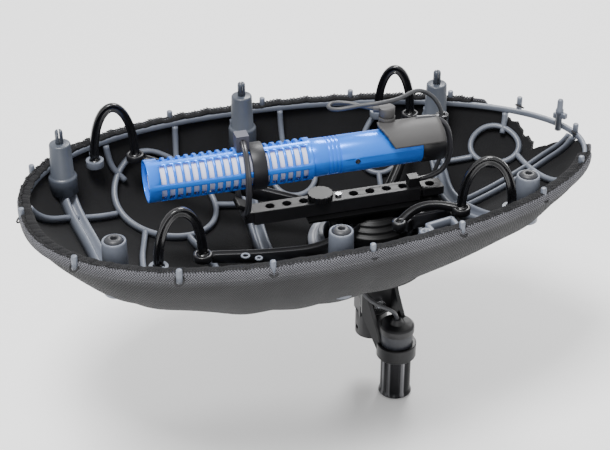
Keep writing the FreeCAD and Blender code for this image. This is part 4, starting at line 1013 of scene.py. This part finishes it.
def tail_clip():
    """The catch at the tail: a slim split stud on the rim with two small ears."""
    x, y = 172.5, 15.5
    parts = [rolled([(0.01, -9), (1.9, -9), (1.9, 1.5), (2.3, 2.0), (2.3, 4.0), (1.8, 4.6), (1.7, 9.5),
                     (1.3, 10.4), (0.01, 10.6)], (x, y, 0), sides=24),
             block((x + 1.6, y - 2.6, 1.0), (1.4, 1.8, 1.6), 0.5, 0.3),
             block((x - 0.6, y + 2.4, -1.0), (1.3, 1.7, 1.8), 0.5, 0.3)]
    mesh("tail_clip", *joined(parts), NYLON, "basket", stands_for=["tail_tongue"],
         slot="frame_grey_nylon")


fittings()
hook()
slotted_tube()
shell()
shoe()
bracket()
drum_steps()
tail_clip()

PAINTS = {
    NYLON: ["opening_collar", "hoop_sockets"],
    BLACK_NYLON: ["rail_end_piece", "lyre_shoe_rear", "rail_knob",
                  "connector_cap", "connector_insert", "friction_washers"],
    ALLOY: ["rail", "swivel_foot", "yoke"],
    DRUM: ["chassis_housing", "saddle_plate"],
    GLOSS: ["connector_barrel", "inline_plug"],
    BAND: ["connector_band"],
    BLUE: ["microphone_body"],
    SCREEN: ["acoustic_screen", "nose_grille"],
    SILICONE: ["microphone_clamp"],
    CLIP: ["lyre_clip"],
    WARM: ["lead_gland"],
    STEEL: ["pivot_bolt", "pivot_nut", "rail_screw", "body_screw", "capsule"],
    BRASS: ["thread_insert", "connector_contacts"],
    COVER: ["cover_skirt"],
}
SOFTENED = {"rail": 0.35, "swivel_foot": 0.6, "yoke": 0.6,
            "chassis_housing": 0.8, "saddle_plate": 0.3, "rail_end_piece": 0.4, "rail_knob": 0.3,
            "lyre_shoe_rear": 0.4,
            "lead_gland": 0.4, "microphone_clamp": 0.6, "lyre_clip": 0.5, "connector_cap": 0.3,
            "connector_band": 0.2, "connector_barrel": 0.2, "pivot_bolt": 0.3,
            "microphone_body": 0.15, "opening_collar": 0.5,
            "hoop_sockets": 0.4, "inline_plug": 0.3}
for paint, names in PAINTS.items():
    for name in names:
        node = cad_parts[name]
        node.data.materials.clear()
        node.data.materials.append(paint)
for name, width in SOFTENED.items():
    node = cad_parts[name]
    weld = node.modifiers.new("weld", "WELD")
    weld.merge_threshold = 0.00002
    bevel = node.modifiers.new("softened edges", "BEVEL")
    bevel.width = width / 1000
    bevel.segments = 2
    bevel.limit_method = "ANGLE"
    bevel.angle_limit = math.radians(38)
    bevel.use_clamp_overlap = True
    bevel.harden_normals = False

# ---------------------------------------------------------------- stage
LOWEST = CAD_BOX[0][2]


def flat_plate(name, half, z, colour, roughness):
    made, tree, shader = material(name, colour, roughness)
    data = bpy.data.meshes.new(name)
    data.from_pydata([(-half, -half, z), (half, -half, z), (half, half, z), (-half, half, z)], [],
                     [(0, 1, 2, 3)])
    data.materials.append(made)
    plate = bpy.data.objects.new(name, data)
    bpy.context.scene.collection.objects.link(plate)


flat_plate("studio floor", 6.0, LOWEST - 0.001, "#ffffff", 0.95)
world = bpy.data.worlds.new("studio")
world.use_nodes = True
world.node_tree.nodes["Background"].inputs[0].default_value = (1, 1, 1, 1)
world.node_tree.nodes["Background"].inputs[1].default_value = 0.85
bpy.context.scene.world = world


def lamp(name, place, aim, size, power):
    data = bpy.data.lights.new(name, "AREA")
    data.energy, data.size = power, size
    made = bpy.data.objects.new(name, data)
    bpy.context.scene.collection.objects.link(made)
    made.location = place
    made.rotation_mode = "QUATERNION"
    made.rotation_quaternion = (Vector(aim) - Vector(place)).to_track_quat("-Z", "Y")


lamp("key softbox", (-0.4, -0.3, 1.5), (-0.04, 0, 0.1), 0.5, 30)
lamp("rear softbox", (0.5, 1.0, 1.2), (-0.04, 0, 0.1), 0.5, 19)
lamp("low fill", (-0.6, -1.6, 0.3), (-0.04, 0, 0.1), 1.0, 5)
